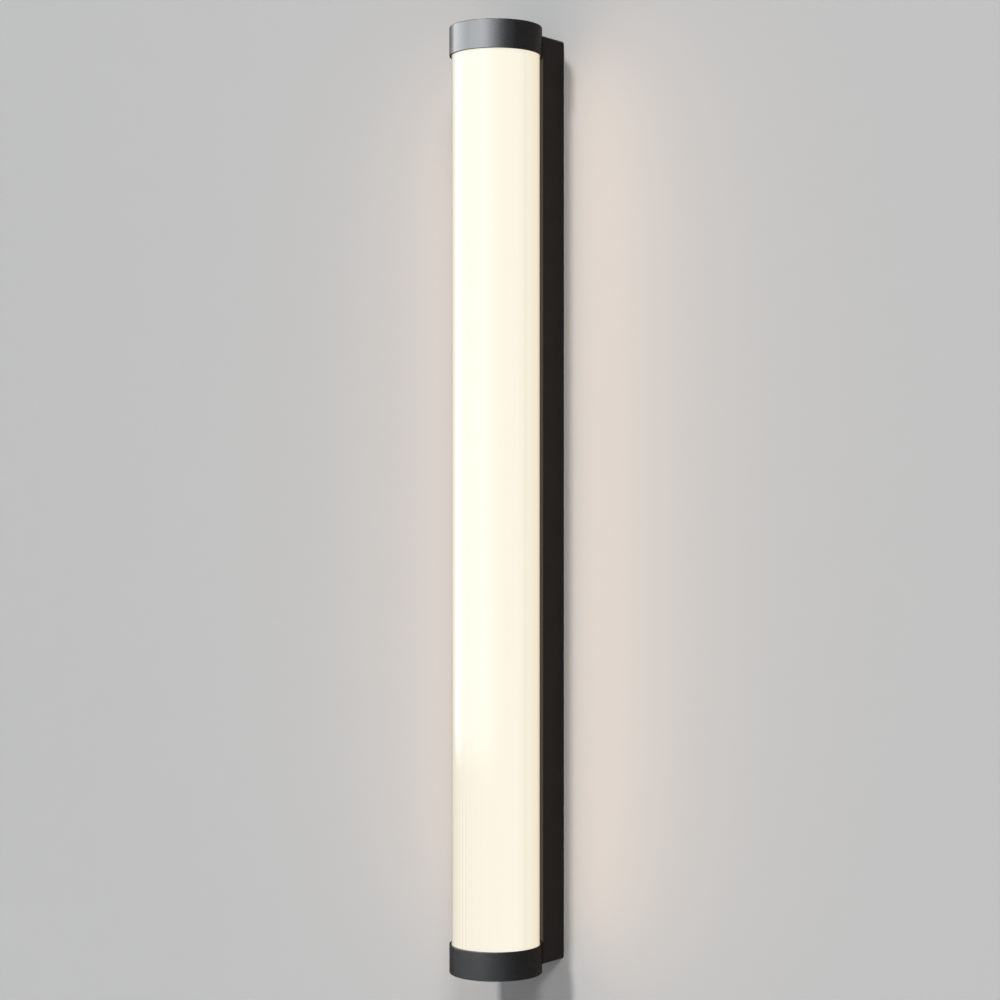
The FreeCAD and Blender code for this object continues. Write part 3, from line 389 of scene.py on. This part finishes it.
class Graph:
    """Short calls for building the nodes of a material or of the world."""

    def __init__(self, owner, shader):
        owner.use_nodes = True
        self.owner = owner
        self.tree = owner.node_tree
        self.shader = self.tree.nodes[shader]

    def add(self, kind, **settings):
        node = self.tree.nodes.new("ShaderNode" + kind)
        for name, value in settings.items():
            setattr(node, name, value)
        return node

    def wire(self, source, target):
        """Joins an output to an input, or sets the input where the source is a plain value."""
        if isinstance(source, bpy.types.NodeSocket):
            self.tree.links.new(source, target)
        else:
            target.default_value = source

    def feed(self, name, source):
        """Wires or sets one of the shader's inputs."""
        self.wire(source, self.shader.inputs[name])

    def fed(self, name):
        """The output that feeds one of the shader's inputs."""
        return self.shader.inputs[name].links[0].from_socket

    def math(self, operation, *values):
        node = self.add("Math", operation=operation)
        for socket, value in zip(node.inputs, values):
            self.wire(value, socket)
        return node.outputs[0]

    def axes(self, kind, output):
        """X, Y and Z of a coordinate or a direction."""
        split = self.add("SeparateXYZ")
        self.wire(self.add(kind).outputs[output], split.inputs[0])
        return tuple(split.outputs)

    def place(self, stretch=(1, 1, 1)):
        """Object coordinates, with a stretch for grain that runs one way."""
        mapping = self.add("Mapping")
        mapping.inputs["Scale"].default_value = stretch
        self.wire(self.add("TexCoord").outputs["Object"], mapping.inputs["Vector"])
        return mapping.outputs[0]

    def noise(self, place, size, detail=3.0):
        """Noise from 0 to 1 whose lumps are about so many millimetres."""
        node = self.add("TexNoise")
        node.inputs["Scale"].default_value = 1 / (size * MM)
        node.inputs["Detail"].default_value = detail
        self.wire(place, node.inputs["Vector"])
        return node.outputs["Fac"]

    def cells(self, place, size):
        """Distance to the middle of the nearest cell of a foam."""
        node = self.add("TexVoronoi")
        node.inputs["Scale"].default_value = 1 / (size * MM)
        self.wire(place, node.inputs["Vector"])
        return node.outputs["Distance"]

    def spread(self, source, low, high, source_low=NOISE_LOW, source_high=NOISE_HIGH, **settings):
        """A number that goes from low to high as the source goes through its span."""
        node = self.add("MapRange", **settings)
        values = {
            "Value": source,
            "From Min": source_low,
            "From Max": source_high,
            "To Min": low,
            "To Max": high,
        }
        for name, value in values.items():
            self.wire(value, node.inputs[name])
        return node.outputs["Result"]

    def between(self, factor, first, second):
        """The first number where the factor is 0, and the second where it is 1."""
        node = self.add("Mix")
        for name, value in {"Factor": factor, "A": first, "B": second}.items():
            self.wire(value, node.inputs[name])
        return node.outputs["Result"]

    def mixed(self, factor, first, second, blend_type="MIX"):
        """The second colour laid over the first as far as the factor says."""
        node = self.add("Mix", data_type="RGBA", blend_type=blend_type)
        for index, value in ((0, factor), (6, first), (7, second)):
            self.wire(value, node.inputs[index])
        return node.outputs[2]

    def ramp(self, factor, stops):
        """A colour that follows a factor through stops of position and colour."""
        node = self.add("ValToRGB")
        elements = node.color_ramp.elements
        elements.remove(elements[-1])
        for index, (position, colour) in enumerate(stops):
            stop = elements.new(position) if index else elements[0]
            stop.position = position
            stop.color = (*colour, 1)
        self.wire(factor, node.inputs["Fac"])
        return node.outputs["Color"]

    def blend(self, factor, first, second):
        """One colour turning into another as a noise grows."""
        return self.ramp(factor, [(NOISE_LOW, first), (NOISE_HIGH, second)])

    def bump(self, height, depth):
        """Bumps of so many millimetres."""
        node = self.add("Bump")
        node.inputs["Strength"].default_value = 1.0
        node.inputs["Distance"].default_value = depth * MM
        self.wire(height, node.inputs["Height"])
        self.feed("Normal", node.outputs["Normal"])


# Finishes


def material_graph(name):
    return Graph(bpy.data.materials.new(name + "_finish"), "Principled BSDF")


def skin(graph, dark, light, blotch, grain, depth, stretch=(1, 1, 1), cellular=False):
    """A colour that wanders over blotches, and bumps of a fine grain, whose pattern is returned."""
    place = graph.place(stretch)
    wander = graph.noise(place, blotch)
    fine = graph.cells(place, grain) if cellular else graph.noise(place, grain, GRAIN_DETAIL)
    graph.feed("Base Color", graph.blend(wander, dark, light))
    graph.bump(fine, depth)
    return fine


def surface(name, dark, light, roughness, blotch, grain, depth):
    """A finish with a skin, whose roughness follows the grain."""
    graph = material_graph(name)
    stretch = STRETCH.get(name, (1, 1, 1))
    fine = skin(graph, dark, light, blotch, grain, depth, stretch, name in CELLULAR)
    graph.feed("Roughness", graph.spread(fine, *roughness))
    graph.feed("Metallic", METALLIC.get(name, 0.0))
    return graph


def paint_reflected_lines(graph, turn, height):
    """A painted reflection of fine upright lines low on the tube's left, as the photograph shows, as a factor
    round 1.
    """
    offset = graph.math("SUBTRACT", turn, math.radians(LINES_MIDDLE))
    wave = graph.math("COSINE", graph.math("MULTIPLY", offset, 360 / LINES_PITCH))
    inner, outer = math.radians(LINES_REACH), math.radians(LINES_REACH + LINES_SIDE_FADE)
    across = graph.spread(graph.math("ABSOLUTE", offset), 1.0, 0.0, inner, outer)
    upward = graph.spread(height, 1.0, 0.0, *LINES_TOP_FADE)
    depth = graph.math("MULTIPLY", graph.math("MULTIPLY", across, upward), LINES_DEPTH)
    return graph.math("ADD", graph.math("MULTIPLY", wave, depth), 1.0)


def opal():
    """Opal acrylic lit from inside, streaked along its length, with painted shade, painted light and a
    painted reflection of fine lines in its glow.
    """
    graph = material_graph("opal_lit")
    low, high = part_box("diffuser_tube")
    x, y, z = graph.axes("TexCoord", "Object")
    turn = graph.math("ARCTAN2", x, graph.math("SUBTRACT", (low.y + high.y) / 2, y))
    half_turns = graph.math("DIVIDE", graph.math("ABSOLUTE", turn), math.pi)
    glow = graph.ramp(half_turns, [(degrees / 180, colour) for degrees, colour in TUBE_GLOW_AND_PAINTED_LIGHT])
    streaks = graph.noise(graph.place(STREAK_STRETCH), STREAK_WIDTH, STREAK_DETAIL)
    glow = graph.mixed(1.0, glow, graph.blend(streaks, *STREAK_SHADES), "MULTIPLY")
    graph.feed("Emission Color", graph.mixed(1.0, glow, paint_reflected_lines(graph, turn, z), "MULTIPLY"))
    graph.feed("Emission Strength", 1.0)
    cloud = graph.noise(graph.place(), OPAL_BLOTCH)
    graph.feed("Base Color", graph.blend(cloud, *OPAL_COLOURS))
    graph.feed("Roughness", graph.spread(cloud, *OPAL_ROUGHNESS))
    for name, value in OPAL_SKIN.items():
        graph.feed(name, value)
    graph.bump(streaks, STREAK_DEPTH)
    return graph


def give_matt_ends(graph):
    """Tints the caps' sheen, and takes it off their flat ends."""
    upright = graph.math("ABSOLUTE", graph.axes("NewGeometry", "Normal")[2])
    sheen = graph.spread(upright, CAP_SHEEN, CAP_END_SHEEN, *CAP_END_FACING)
    ends = graph.spread(upright, 0.0, CAP_END_ROUGHNESS, *CAP_END_FACING)
    graph.feed("Specular Tint", CAP_TINT)
    graph.feed("Specular IOR Level", sheen)
    graph.feed("Roughness", graph.math("MAXIMUM", graph.fed("Roughness"), ends))


def give_stripe(graph):
    """Lays a yellow stripe along one side of the earth lead."""
    x = graph.axes("TexCoord", "Object")[0]
    stripe = graph.math("LESS_THAN", graph.math("ABSOLUTE", x), STRIPE_HALF_WIDTH)
    graph.feed("Base Color", graph.mixed(stripe, graph.fed("Base Color"), STRIPE_COLOUR))


def finishes():
    """One material for every slot of the record, and copper for the leads' ends."""
    made = {name: surface(name, *row) for name, row in FINISH_TABLE.items()}
    made["opal_lit"] = opal()
    give_matt_ends(made["cap_anthracite"])
    give_stripe(made["green_pvc"])
    return {name: graph.owner for name, graph in made.items()}


def plaster():
    """Pale matt wall paint, seen through from behind so that views from there show the light."""
    graph = material_graph("wall_paint")
    darker = tuple(channel * WALL_MOTTLE for channel in WALL_COLOUR)
    skin(graph, darker, WALL_COLOUR, *WALL_GRAIN)
    mirrored = graph.add("LightPath").outputs["Is Glossy Ray"]
    graph.feed("Specular IOR Level", graph.math("MULTIPLY", mirrored, MIRRORED_WALL_SHEEN))
    graph.feed("Roughness", graph.spread(mirrored, WALL_ROUGHNESS, MIRRORED_WALL_ROUGHNESS, 0.0, 1.0))
    graph.feed("Base Color", graph.mixed(mirrored, graph.fed("Base Color"), (*MIRRORED_WALL_COLOUR, 1)))
    sides = graph.add("MixShader")
    graph.wire(graph.add("NewGeometry").outputs["Backfacing"], sides.inputs["Fac"])
    graph.wire(graph.shader.outputs[0], sides.inputs[1])
    graph.wire(graph.add("BsdfTransparent").outputs[0], sides.inputs[2])
    graph.wire(sides.outputs[0], graph.tree.nodes["Material Output"].inputs["Surface"])
    return graph.owner


# Camera, stage and lamps


def linked(name, data):
    """A new object in the scene."""
    made = bpy.data.objects.new(name, data)
    bpy.context.scene.collection.objects.link(made)
    return made


def add_camera():
    data = bpy.data.cameras.new("camera")
    data.lens = CAMERA_LENS
    data.sensor_width = SENSOR_WIDTH
    camera = linked("camera", data)
    camera.location = CAMERA_PLACE
    camera.rotation_euler = (math.radians(90), 0, math.radians(CAMERA_TURN))
    bpy.context.scene.camera = camera


def stage_sheet(name, points, quads, material):
    mesh = bpy.data.meshes.new(name)
    mesh.from_pydata(points, [], quads)
    mesh.materials.append(material)
    made = linked(name, mesh)


def add_stage():
    """The wall, open behind the housing where nothing shows from the front, and the floor."""
    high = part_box("wall_gasket")[1]
    inner_x = high.x - OPENING_MARGIN
    inner_z = high.z - OPENING_MARGIN
    corners = [(-1, -1), (1, -1), (1, 1), (-1, 1)]
    outer_z = {-1: FLOOR_HEIGHT, 1: WALL_TOP}
    points = [(sx * WALL_HALF_WIDTH, WALL_PLACE, outer_z[sz]) for sx, sz in corners]
    points += [(sx * inner_x, WALL_PLACE, sz * inner_z) for sx, sz in corners]
    quads = [(i, (i + 1) % 4, 4 + (i + 1) % 4, 4 + i) for i in range(4)]
    stage_sheet("stage_wall", points, quads, plaster())
    points = [(sx * FLOOR_HALF_WIDTH, sy * FLOOR_HALF_WIDTH, FLOOR_HEIGHT) for sx, sy in corners]
    stage_sheet("stage_floor", points, [(0, 1, 2, 3)], surface("floor_paint", *FLOOR_PAINT).owner)


def softbox(name, place, target, width, height, radiance, matt=True, gloss=True, colour=(1, 1, 1)):
    """A rectangular lamp of a plain brightness that looks at a point and lights matt or glossy skins."""
    data = bpy.data.lights.new(name, "AREA")
    data.shape = "RECTANGLE"
    data.size = width
    data.size_y = height
    data.energy = radiance * math.pi * width * height
    data.color = colour
    lamp = linked(name, data)
    lamp.location = place
    lamp.rotation_euler = (Vector(target) - Vector(place)).to_track_quat("-Z", "Y").to_euler()
    lamp.visible_camera = False
    lamp.visible_diffuse = matt
    lamp.visible_glossy = gloss


def add_lamps():
    """The key lamps, the lamp behind, and the panels whose mirror images lie on the glossy skins."""
    rise = math.radians(KEY_ELEVATION)
    for index, (azimuth, size, radiance) in enumerate(KEYS):
        turn = math.radians(azimuth)
        out = Vector((math.sin(turn) * math.cos(rise), -math.cos(turn) * math.cos(rise), math.sin(rise)))
        softbox(f"key_{index + 1}", out * KEY_DISTANCE, (0, 0, 0), size, size, radiance)
    softbox("rear", REAR_PLACE, (0, 0, 0), REAR_SIZE, REAR_SIZE, REAR_RADIANCE)
    middle = (PANEL_LOW + PANEL_HIGH) / 2
    height = PANEL_HIGH - PANEL_LOW
    for index, (start, end, radiance) in enumerate(PANELS):
        turn = math.radians((start + end) / 2)
        width = 2 * PANEL_DISTANCE * math.tan(math.radians((end - start) / 2))
        place = (PANEL_DISTANCE * math.sin(turn), -PANEL_DISTANCE * math.cos(turn), middle)
        softbox(f"panel_{index + 1}", place, (0, 0, middle), width, height, radiance, matt=False)


def add_glow():
    """The warm light that the lit tube throws sideways on wall and housing, from strips along its sides."""
    low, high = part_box("diffuser_tube")
    length = high.z - low.z
    for name, x, y, azimuth, width, radiance in GLOWS:
        for hand, side in (("left", -1), ("right", 1)):
            turn = math.radians(side * azimuth)
            place = Vector((side * x, y, 0))
            target = place + Vector((math.sin(turn), -math.cos(turn), 0))
            strip = f"{name}_{hand}"
            softbox(strip, place, target, width, length, radiance, gloss=False, colour=GLOW_COLOUR)


def add_world():
    """Soft fill for matt skins, the pale background for the camera, and a dim room for glossy skins."""
    world = bpy.data.worlds.new("studio")
    bpy.context.scene.world = world
    graph = Graph(world, "Background")
    x, y, _ = graph.axes("TexCoord", "Generated")
    side = graph.spread(x, ROOM_LEFT, ROOM_RIGHT, *LEFT_TO_RIGHT, interpolation_type="SMOOTHSTEP")
    behind = graph.spread(y, 0.0, 1.0, *FRONT_TO_BEHIND, interpolation_type="SMOOTHSTEP")
    path = graph.add("LightPath")
    room = graph.between(behind, side, ROOM_BEHIND)
    level = graph.between(path.outputs["Is Glossy Ray"], FILL, room)
    graph.feed("Strength", graph.between(path.outputs["Is Camera Ray"], level, BACKGROUND))
    graph.feed("Color", (1, 1, 1, 1))


# Drawing


def around(radius, angle, height):
    """A point beside the Z axis."""
    return Vector((radius * math.cos(angle), radius * math.sin(angle), height))


def circle(radius, height, count=SCREW_SEGMENTS):
    return [around(radius, 2 * math.pi * i / count, height) for i in range(count)]


def hexagon(width, height, limit=math.inf):
    """Points round a hexagon of a width across flats, cut back to a limiting radius."""
    points = []
    for i in range(SCREW_SEGMENTS):
        angle = 2 * math.pi * i / SCREW_SEGMENTS
        reach = min(limit, width / 2 / math.cos(angle % (math.pi / 3) - math.pi / 6))
        points.append(around(reach, angle, height))
    return points


def lofted(bm, rings, closed=False, place=Matrix.Identity(4), material=0):
    """A skin over rings of points. A closed loft joins its last ring to the first, an open one is capped."""
    made = [[bm.verts.new(place @ point) for point in ring] for ring in rings]
    pairs = list(zip(made, made[1:])) + ([(made[-1], made[0])] if closed else [])
    faces = []
    for low, high in pairs:
        for i in range(len(low)):
            j = (i + 1) % len(low)
            faces.append(bm.faces.new((low[i], low[j], high[j], high[i])))
    if not closed:
        faces.append(bm.faces.new(made[0][::-1]))
        faces.append(bm.faces.new(made[-1]))
    for face in faces:
        face.material_index = material


def turned(bm, profile, count, closed=False, place=Matrix.Identity(4), material=0):
    """A lathe shape from pairs of radius and height."""
    lofted(bm, [circle(radius, height, count) for radius, height in profile], closed, place, material)


def rounded(corners):
    """A profile whose corners, given as radius, height and rounding, are turned into short arcs."""
    points = []
    for index, (radius, height, size) in enumerate(corners):
        if not size:
            points.append((radius, height))
            continue
        here = Vector((radius, height))
        before = (Vector(corners[index - 1][:2]) - here).normalized()
        after = (Vector(corners[(index + 1) % len(corners)][:2]) - here).normalized()
        start, end = here + before * size, here + after * size
        for step in range(CORNER_STEPS + 1):
            t = step / CORNER_STEPS
            point = start * (1 - t) ** 2 + here * 2 * t * (1 - t) + end * t ** 2
            points.append((point.x, point.y))
    return points


def shifted(x, y):
    return Matrix.Translation((x, y, 0))


def looking(place, direction):
    """A matrix that puts a shape drawn along +Z at a point, looking in a direction."""
    turn = Vector(direction).to_track_quat("Z", "X").to_matrix().to_4x4()
    return Matrix.Translation(Vector(place)) @ turn


def block(bm, x, y, z, edge, material):
    """A block between three (low, high) pairs, with its edges softened."""
    corners = [bm.verts.new((x[i], y[j], z[k])) for i in (0, 1) for j in (0, 1) for k in (0, 1)]
    quads = [(0, 1, 3, 2), (4, 6, 7, 5), (0, 4, 5, 1), (2, 3, 7, 6), (0, 2, 6, 4), (1, 5, 7, 3)]
    faces = [bm.faces.new([corners[i] for i in quad]) for quad in quads]
    for face in faces:
        face.material_index = material
    edges = list(dict.fromkeys(side for face in faces for side in face.edges))
    bmesh.ops.bevel(bm, geom=edges, offset=edge, **ROUND_BEVEL)


def mesh_from(bm, name):
    """The mesh of a drawing in millimetres, which is used up."""
    bmesh.ops.recalc_face_normals(bm, faces=bm.faces)
    bmesh.ops.scale(bm, vec=(MM, MM, MM), verts=bm.verts)
    mesh = bpy.data.meshes.new(name)
    bm.to_mesh(mesh)
    bm.free()
    return mesh


def carved(mesh, cutter):
    """A mesh with another taken out of it."""
    body, tool = linked("carved_body", mesh), linked("carved_tool", cutter)
    cut = body.modifiers.new("cut", "BOOLEAN")
    cut.operation = "DIFFERENCE"
    cut.solver = "EXACT"
    cut.object = tool
    bpy.context.view_layer.update()
    result = bpy.data.meshes.new_from_object(body.evaluated_get(bpy.context.evaluated_depsgraph_get()))
    for used in (body, tool):
        bpy.data.objects.remove(used)
    return result


def piece_for(node, name, mesh, extra=()):
    """A mesh as the piece that stands for a CAD node, smooth over softened edges and flat on its flats."""
    slot = SLOT_OF[node]
    for finish in (slot, *extra):
        mesh.materials.append(FINISHES[finish])
    for polygon in mesh.polygons:
        polygon.use_smooth = True
    mesh.set_sharp_from_angle(angle=math.radians(SMOOTH_UP_TO))
    piece = linked(name, mesh)
    even = piece.modifiers.new("even_shading", "WEIGHTED_NORMAL")
    even.keep_sharp = True
    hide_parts(node)
    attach(piece, BODY_OF[node])


# Places in the CAD model, in millimetres


def box_mm(node):
    """The lowest and highest corner of a CAD node."""
    low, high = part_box(node)
    return low / MM, high / MM


def middle(node):
    """X, Y and Z of the middle of a CAD node."""
    low, high = box_mm(node)
    return [(a + b) / 2 for a, b in zip(low, high)]


def half_width(node):
    low, high = box_mm(node)
    return (high.x - low.x) / 2


def on_tube_axis():
    """A matrix that moves a lathe shape onto the tube's axis."""
    return shifted(0, middle("diffuser_tube")[1])


def screw_heights(node, head):
    """Heights of the one or two screws of a node whose heads look back."""
    low, high = box_mm(node)
    half = head / 2
    return sorted({round(low.z + half, 3), round(high.z - half, 3)})


def flush_places(node):
    """Middles of the outer faces of a node's four flush screws: two below, by key -1, and two above, by 1."""
    high = box_mm(node)[1]
    x = high.x - FLUSH_SCREW["head"] / 2
    y = middle(node)[1]
    return {side: [(across, y, side * high.z) for across in (-x, x)] for side in (-1, 1)}


# Pieces


def add_diffuser():
    """The opal tube, with holes behind for its screws and for the lead's bush."""
    low, high = box_mm("diffuser_tube")
    outer = half_width("diffuser_tube")
    inner = outer - TUBE_WALL
    y = middle("diffuser_tube")[1]
    corners = [(inner, low.z), (outer, low.z), (outer, high.z), (inner, high.z)]
    bm = bmesh.new()
    turned(bm, rounded([(*corner, TUBE_EDGE) for corner in corners]), TUBE_SEGMENTS, True, on_tube_axis())
    tube = mesh_from(bm, "diffuser")
    bush = half_width("lead_bush") - BUSH_FLANGE + BUSH_FIT
    holes = [(TUBE_SCREW_HOLE, z) for z in screw_heights("carrier_screws", HEXAGON_M4["head"])]
    holes.append((bush, middle("lead_bush")[2]))
    bm = bmesh.new()
    for radius, z in holes:
        turned(bm, [(radius, 0), (radius, -y)], SCREW_SEGMENTS, place=looking((0, y, z), (0, 1, 0)))
    tube = carved(tube, mesh_from(bm, "diffuser_holes"))
    piece_for("diffuser_tube", "diffuser", tube)


def add_cap(side, node, name):
    """A cap of the tube; side is 1 for the upper one and -1 for the lower one."""
    low, high = box_mm(node)
    radius = half_width(node)
    rim, end = (low.z, high.z) if side > 0 else (high.z, low.z)
    floor = end - side * CAP_END
    inner = radius - SKIRT_WALL
    outline = rounded([
        (CAP_CENTRE, floor, 0),
        (inner, floor, CAP_FLOOR_EDGE),
        (inner, rim, SKIRT_EDGE),
        (radius, rim, RIM_EDGE),
        (radius, end, CAP_EDGE),
        (CAP_CENTRE, end, 0),
    ])
    bm = bmesh.new()
    turned(bm, outline, TUBE_SEGMENTS, place=on_tube_axis())
    cap = mesh_from(bm, name)
    cutter = [
        (SCREW_HOLE, -CAP_END - CUTTER_REACH),
        (SCREW_HOLE, -COUNTERBORE_DEPTH),
        (COUNTERBORE, -COUNTERBORE_DEPTH),
        (COUNTERBORE, -HOLE_CHAMFER),
        (COUNTERBORE + HOLE_CHAMFER + CUTTER_REACH, CUTTER_REACH),
    ]
    bm = bmesh.new()
    for place in flush_places("cap_screws")[side]:
        turned(bm, cutter, COUNTERBORE_SEGMENTS, place=looking(place, (0, 0, side)))
    piece_for(node, name, carved(cap, mesh_from(bm, name + "_holes")))


def threaded(radius, low, high, pitch):
    """Rings of a helical thread that fades out at both ends."""
    rings = []
    steps = max(2, int((high - low) / pitch * THREAD_STEPS))
    for step in range(steps + 1):
        height = low + (high - low) * step / steps
        fade = min(1.0, (height - low) / pitch, (high - height) / pitch)
        ring = []
        for i in range(SCREW_SEGMENTS):
            phase = (height / pitch - i / SCREW_SEGMENTS) % 1.0
            reach = radius - THREAD_DEPTH * pitch * fade * abs(2 * phase - 1)
            ring.append(around(reach, 2 * math.pi * i / SCREW_SEGMENTS, height))
        rings.append(ring)
    return rings


def shank(thread, length, pitch):
    """The rings of a screw from its tip to the underside of its head."""
    radius = thread / 2
    tip = THREAD_TIP * pitch
    rings = [circle(radius - tip, -length), circle(radius, -length + tip)]
    rings += threaded(radius, -length + THREAD_START * pitch, -THREAD_END, pitch)
    return rings + [circle(radius, 0)]


def socket_screw(bm, place, thread, length, pitch, head, height, key, crown):
    """A screw with a low round head and a hexagonal socket."""
    radius = head / 2
    outline = rounded([(radius, 0, HEAD_EDGE), (radius, height, crown), (key, height, 0)])[:-1]
    bottom = height - SOCKET_DEPTH * height
    socket = [
        circle(key * SOCKET_MOUTH, height),
        hexagon(key, height - SOCKET_CHAMFER),
        hexagon(key, bottom),
        circle(SOCKET_POINT, bottom - SOCKET_CONE),
    ]
    lofted(bm, shank(thread, length, pitch) + [circle(*point) for point in outline] + socket, place=place)


def hexagon_screw(bm, place, length, thread, pitch, head, height):
    """A screw with a hexagonal head, its corners cut back above and a washer face below."""
    half = head / 2
    corner = head / math.sqrt(3)
    rings = [
        circle(half, 0),
        circle(half, WASHER_HEIGHT),
        hexagon(head, WASHER_STEP, corner - CORNER_CUT),
        hexagon(head, height - CHAMFER_START, corner - CORNER_CUT),
        hexagon(head, height - CHAMFER_END, corner - CHAMFER_CUT),
        circle(half * HEAD_TOP, height),
        circle(half * DISH_MOUTH, height),
        circle(half * DISH_FLOOR, height - DISH_DEPTH),
    ]
    lofted(bm, shank(thread, length, pitch) + rings, place=place)


def add_flush_screws(node, name):
    """Four flush screws, at both sides of both ends."""
    bm = bmesh.new()
    for side, places in flush_places(node).items():
        for x, y, z in places:
            place = looking((x, y, z - side * COUNTERBORE_DEPTH), (0, 0, side))
            socket_screw(bm, place, **FLUSH_SCREW)
    piece_for(node, name, mesh_from(bm, name))


def add_locking_screws():
    y = middle("locking_screws")[1]
    seat = box_mm("locking_screws")[1].z - LOCKING_SCREW["height"]
    bm = bmesh.new()
    for side in (-1, 1):
        socket_screw(bm, looking((0, y, side * seat), (0, 0, side)), **LOCKING_SCREW)
    piece_for("locking_screws", "locking_screw_pair", mesh_from(bm, "locking_screw_pair"))


def add_hexagon_screws():
    for node, name, kind, length in HEXAGON_SCREWS:
        x = middle(node)[0]
        seat = box_mm(node)[1].y - kind["height"]
        bm = bmesh.new()
        for z in screw_heights(node, kind["head"]):
            hexagon_screw(bm, looking((x, seat, z), (0, 1, 0)), length, **kind)
        piece_for(node, name, mesh_from(bm, name))


def add_seals():
    end = box_mm("cap_seals")[1].z
    outer = half_width("cap_seals")
    inner = outer - TUBE_WALL
    bm = bmesh.new()
    for side in (-1, 1):
        near, far = side * (end - SEAL_THICKNESS), side * end
        corners = [(inner, near), (outer, near), (outer, far), (inner, far)]
        turned(bm, rounded([(*corner, SEAL_EDGE) for corner in corners]), TUBE_SEGMENTS, True, on_tube_axis())
    piece_for("cap_seals", "seal_rings", mesh_from(bm, "seal_rings"))


def add_grommet():
    low, high = box_mm("cable_grommet")
    flange = half_width("cable_grommet")
    collar = flange - GROMMET_FLANGE
    bore = collar - GROMMET_WALL
    corners = [
        (bore, -high.y, GROMMET_BORE_BACK),
        (collar, -high.y, GROMMET_EDGE),
        (collar, BRACKET_THICKNESS, 0),
        (flange, BRACKET_THICKNESS, GROMMET_EDGE),
        (flange, -low.y, GROMMET_FLANGE_FRONT),
        (collar - GROMMET_LIP, -low.y, GROMMET_LIP_EDGE),
        (bore, -low.y, GROMMET_BORE_FRONT),
    ]
    place = looking((0, 0, middle("cable_grommet")[2]), (0, -1, 0))
    bm = bmesh.new()
    turned(bm, rounded(corners), GROMMET_SEGMENTS, True, place)
    piece_for("cable_grommet", "entry_grommet", mesh_from(bm, "entry_grommet"))


def add_leads():
    """Straight leads with their bared copper ends inside terminal, driver and tag."""
    for node, name in LEADS.items():
        low, high = box_mm(node)
        radius = half_width(node)
        core = radius * CORE
        x, y, _ = middle(node)
        start, end = low.z + BARE_END, high.z - BARE_END
        jacket = rounded([
            (core, start, 0),
            (radius, start, JACKET_EDGE),
            (radius, end, JACKET_EDGE),
            (core, end, 0),
        ])
        bm = bmesh.new()
        turned(bm, jacket, JACKET_SEGMENTS, place=shifted(x, y))
        for tip, root in ((low.z, start + CORE_OVERLAP), (end - CORE_OVERLAP, high.z)):
            outline = [(radius * CORE_TIP, tip), (core, tip + CORE_CHAMFER), (core, root)]
            turned(bm, outline, CORE_SEGMENTS, place=shifted(x, y), material=1)
        piece_for(node, name, mesh_from(bm, name), ("copper",))


def add_chips():
    """Every LED package: a white frame with its square of phosphor let into it."""
    low, high = box_mm("led_chips")
    half_x = half_width("led_chips")
    half_z = CHIP_LENGTH / 2
    boards = [box_mm(f"led_board_{i}") for i in BOARDS]
    inset = high.z - boards[-1][1].z
    front = (low.y + PHOSPHOR_FRONT[0], low.y + PHOSPHOR_FRONT[1])
    phosphor_x = half_x - PHOSPHOR_MARGIN_X
    bm = bmesh.new()
    for board_low, _ in boards:
        first = board_low.z - inset + half_z
        for index in range(CHIPS_PER_BOARD):
            z = first + index * CHIP_PITCH
            bottom, top = z - half_z, z + half_z
            block(bm, (-half_x, half_x), (low.y, high.y), (bottom, top), CHIP_EDGE, 1)
            inner_z = (bottom + PHOSPHOR_MARGIN_Z, top - PHOSPHOR_MARGIN_Z)
            block(bm, (-phosphor_x, phosphor_x), front, inner_z, PHOSPHOR_EDGE, 0)
    piece_for("led_chips", "led_packages", mesh_from(bm, "led_packages"), ("white_plastic",))


def let_in_label(bm):
    """A shallow blank field on the driver's back."""
    bm.faces.ensure_lookup_table()
    back = [face for face in bm.faces if face.normal.y > LOOKS_BACK]
    widest = max(back, key=lambda face: face.calc_area())
    bmesh.ops.inset_individual(bm, faces=[widest], thickness=LABEL_MARGIN, depth=0.0)
    bmesh.ops.inset_individual(bm, faces=[widest], thickness=LABEL_STEP, depth=-LABEL_STEP)


def soften(node, name, edge):
    """The CAD node's own shape, with its hard edges broken."""
    bm = bmesh.new()
    bm.from_mesh(frame["nodes"][node].data)
    for layer in list(bm.loops.layers.uv.values()):
        bm.loops.layers.uv.remove(layer)
    bmesh.ops.scale(bm, vec=(1 / MM,) * 3, verts=bm.verts)
    bmesh.ops.remove_doubles(bm, verts=bm.verts, dist=SAME_POINT)
    flat = math.radians(FLAT_WITHIN)
    bmesh.ops.dissolve_limit(bm, angle_limit=flat, verts=bm.verts, edges=bm.edges)
    limit = math.radians(BROKEN_FROM)
    sharp = [e for e in bm.edges if len(e.link_faces) == 2 and e.calc_face_angle() > limit]
    bmesh.ops.bevel(bm, geom=sharp, offset=edge, clamp_overlap=True, **ROUND_BEVEL)
    if node == LABELLED:
        let_in_label(bm)
    piece_for(node, name, mesh_from(bm, name))


add_camera()
add_stage()
add_lamps()
add_glow()
add_world()
FINISHES = finishes()
add_diffuser()
add_cap(1, "top_cap", "cap_top")
add_cap(-1, "bottom_cap", "cap_bottom")
add_flush_screws("cap_screws", "cap_screw_set")
add_flush_screws("end_plate_screws", "end_plate_screw_set")
add_locking_screws()
add_hexagon_screws()
add_seals()
add_grommet()
add_leads()
add_chips()
for cad_node, (piece_name, broken_edge) in SOFTENED.items():
    soften(cad_node, piece_name, broken_edge)

bpy.context.scene.view_settings.view_transform = "Standard"
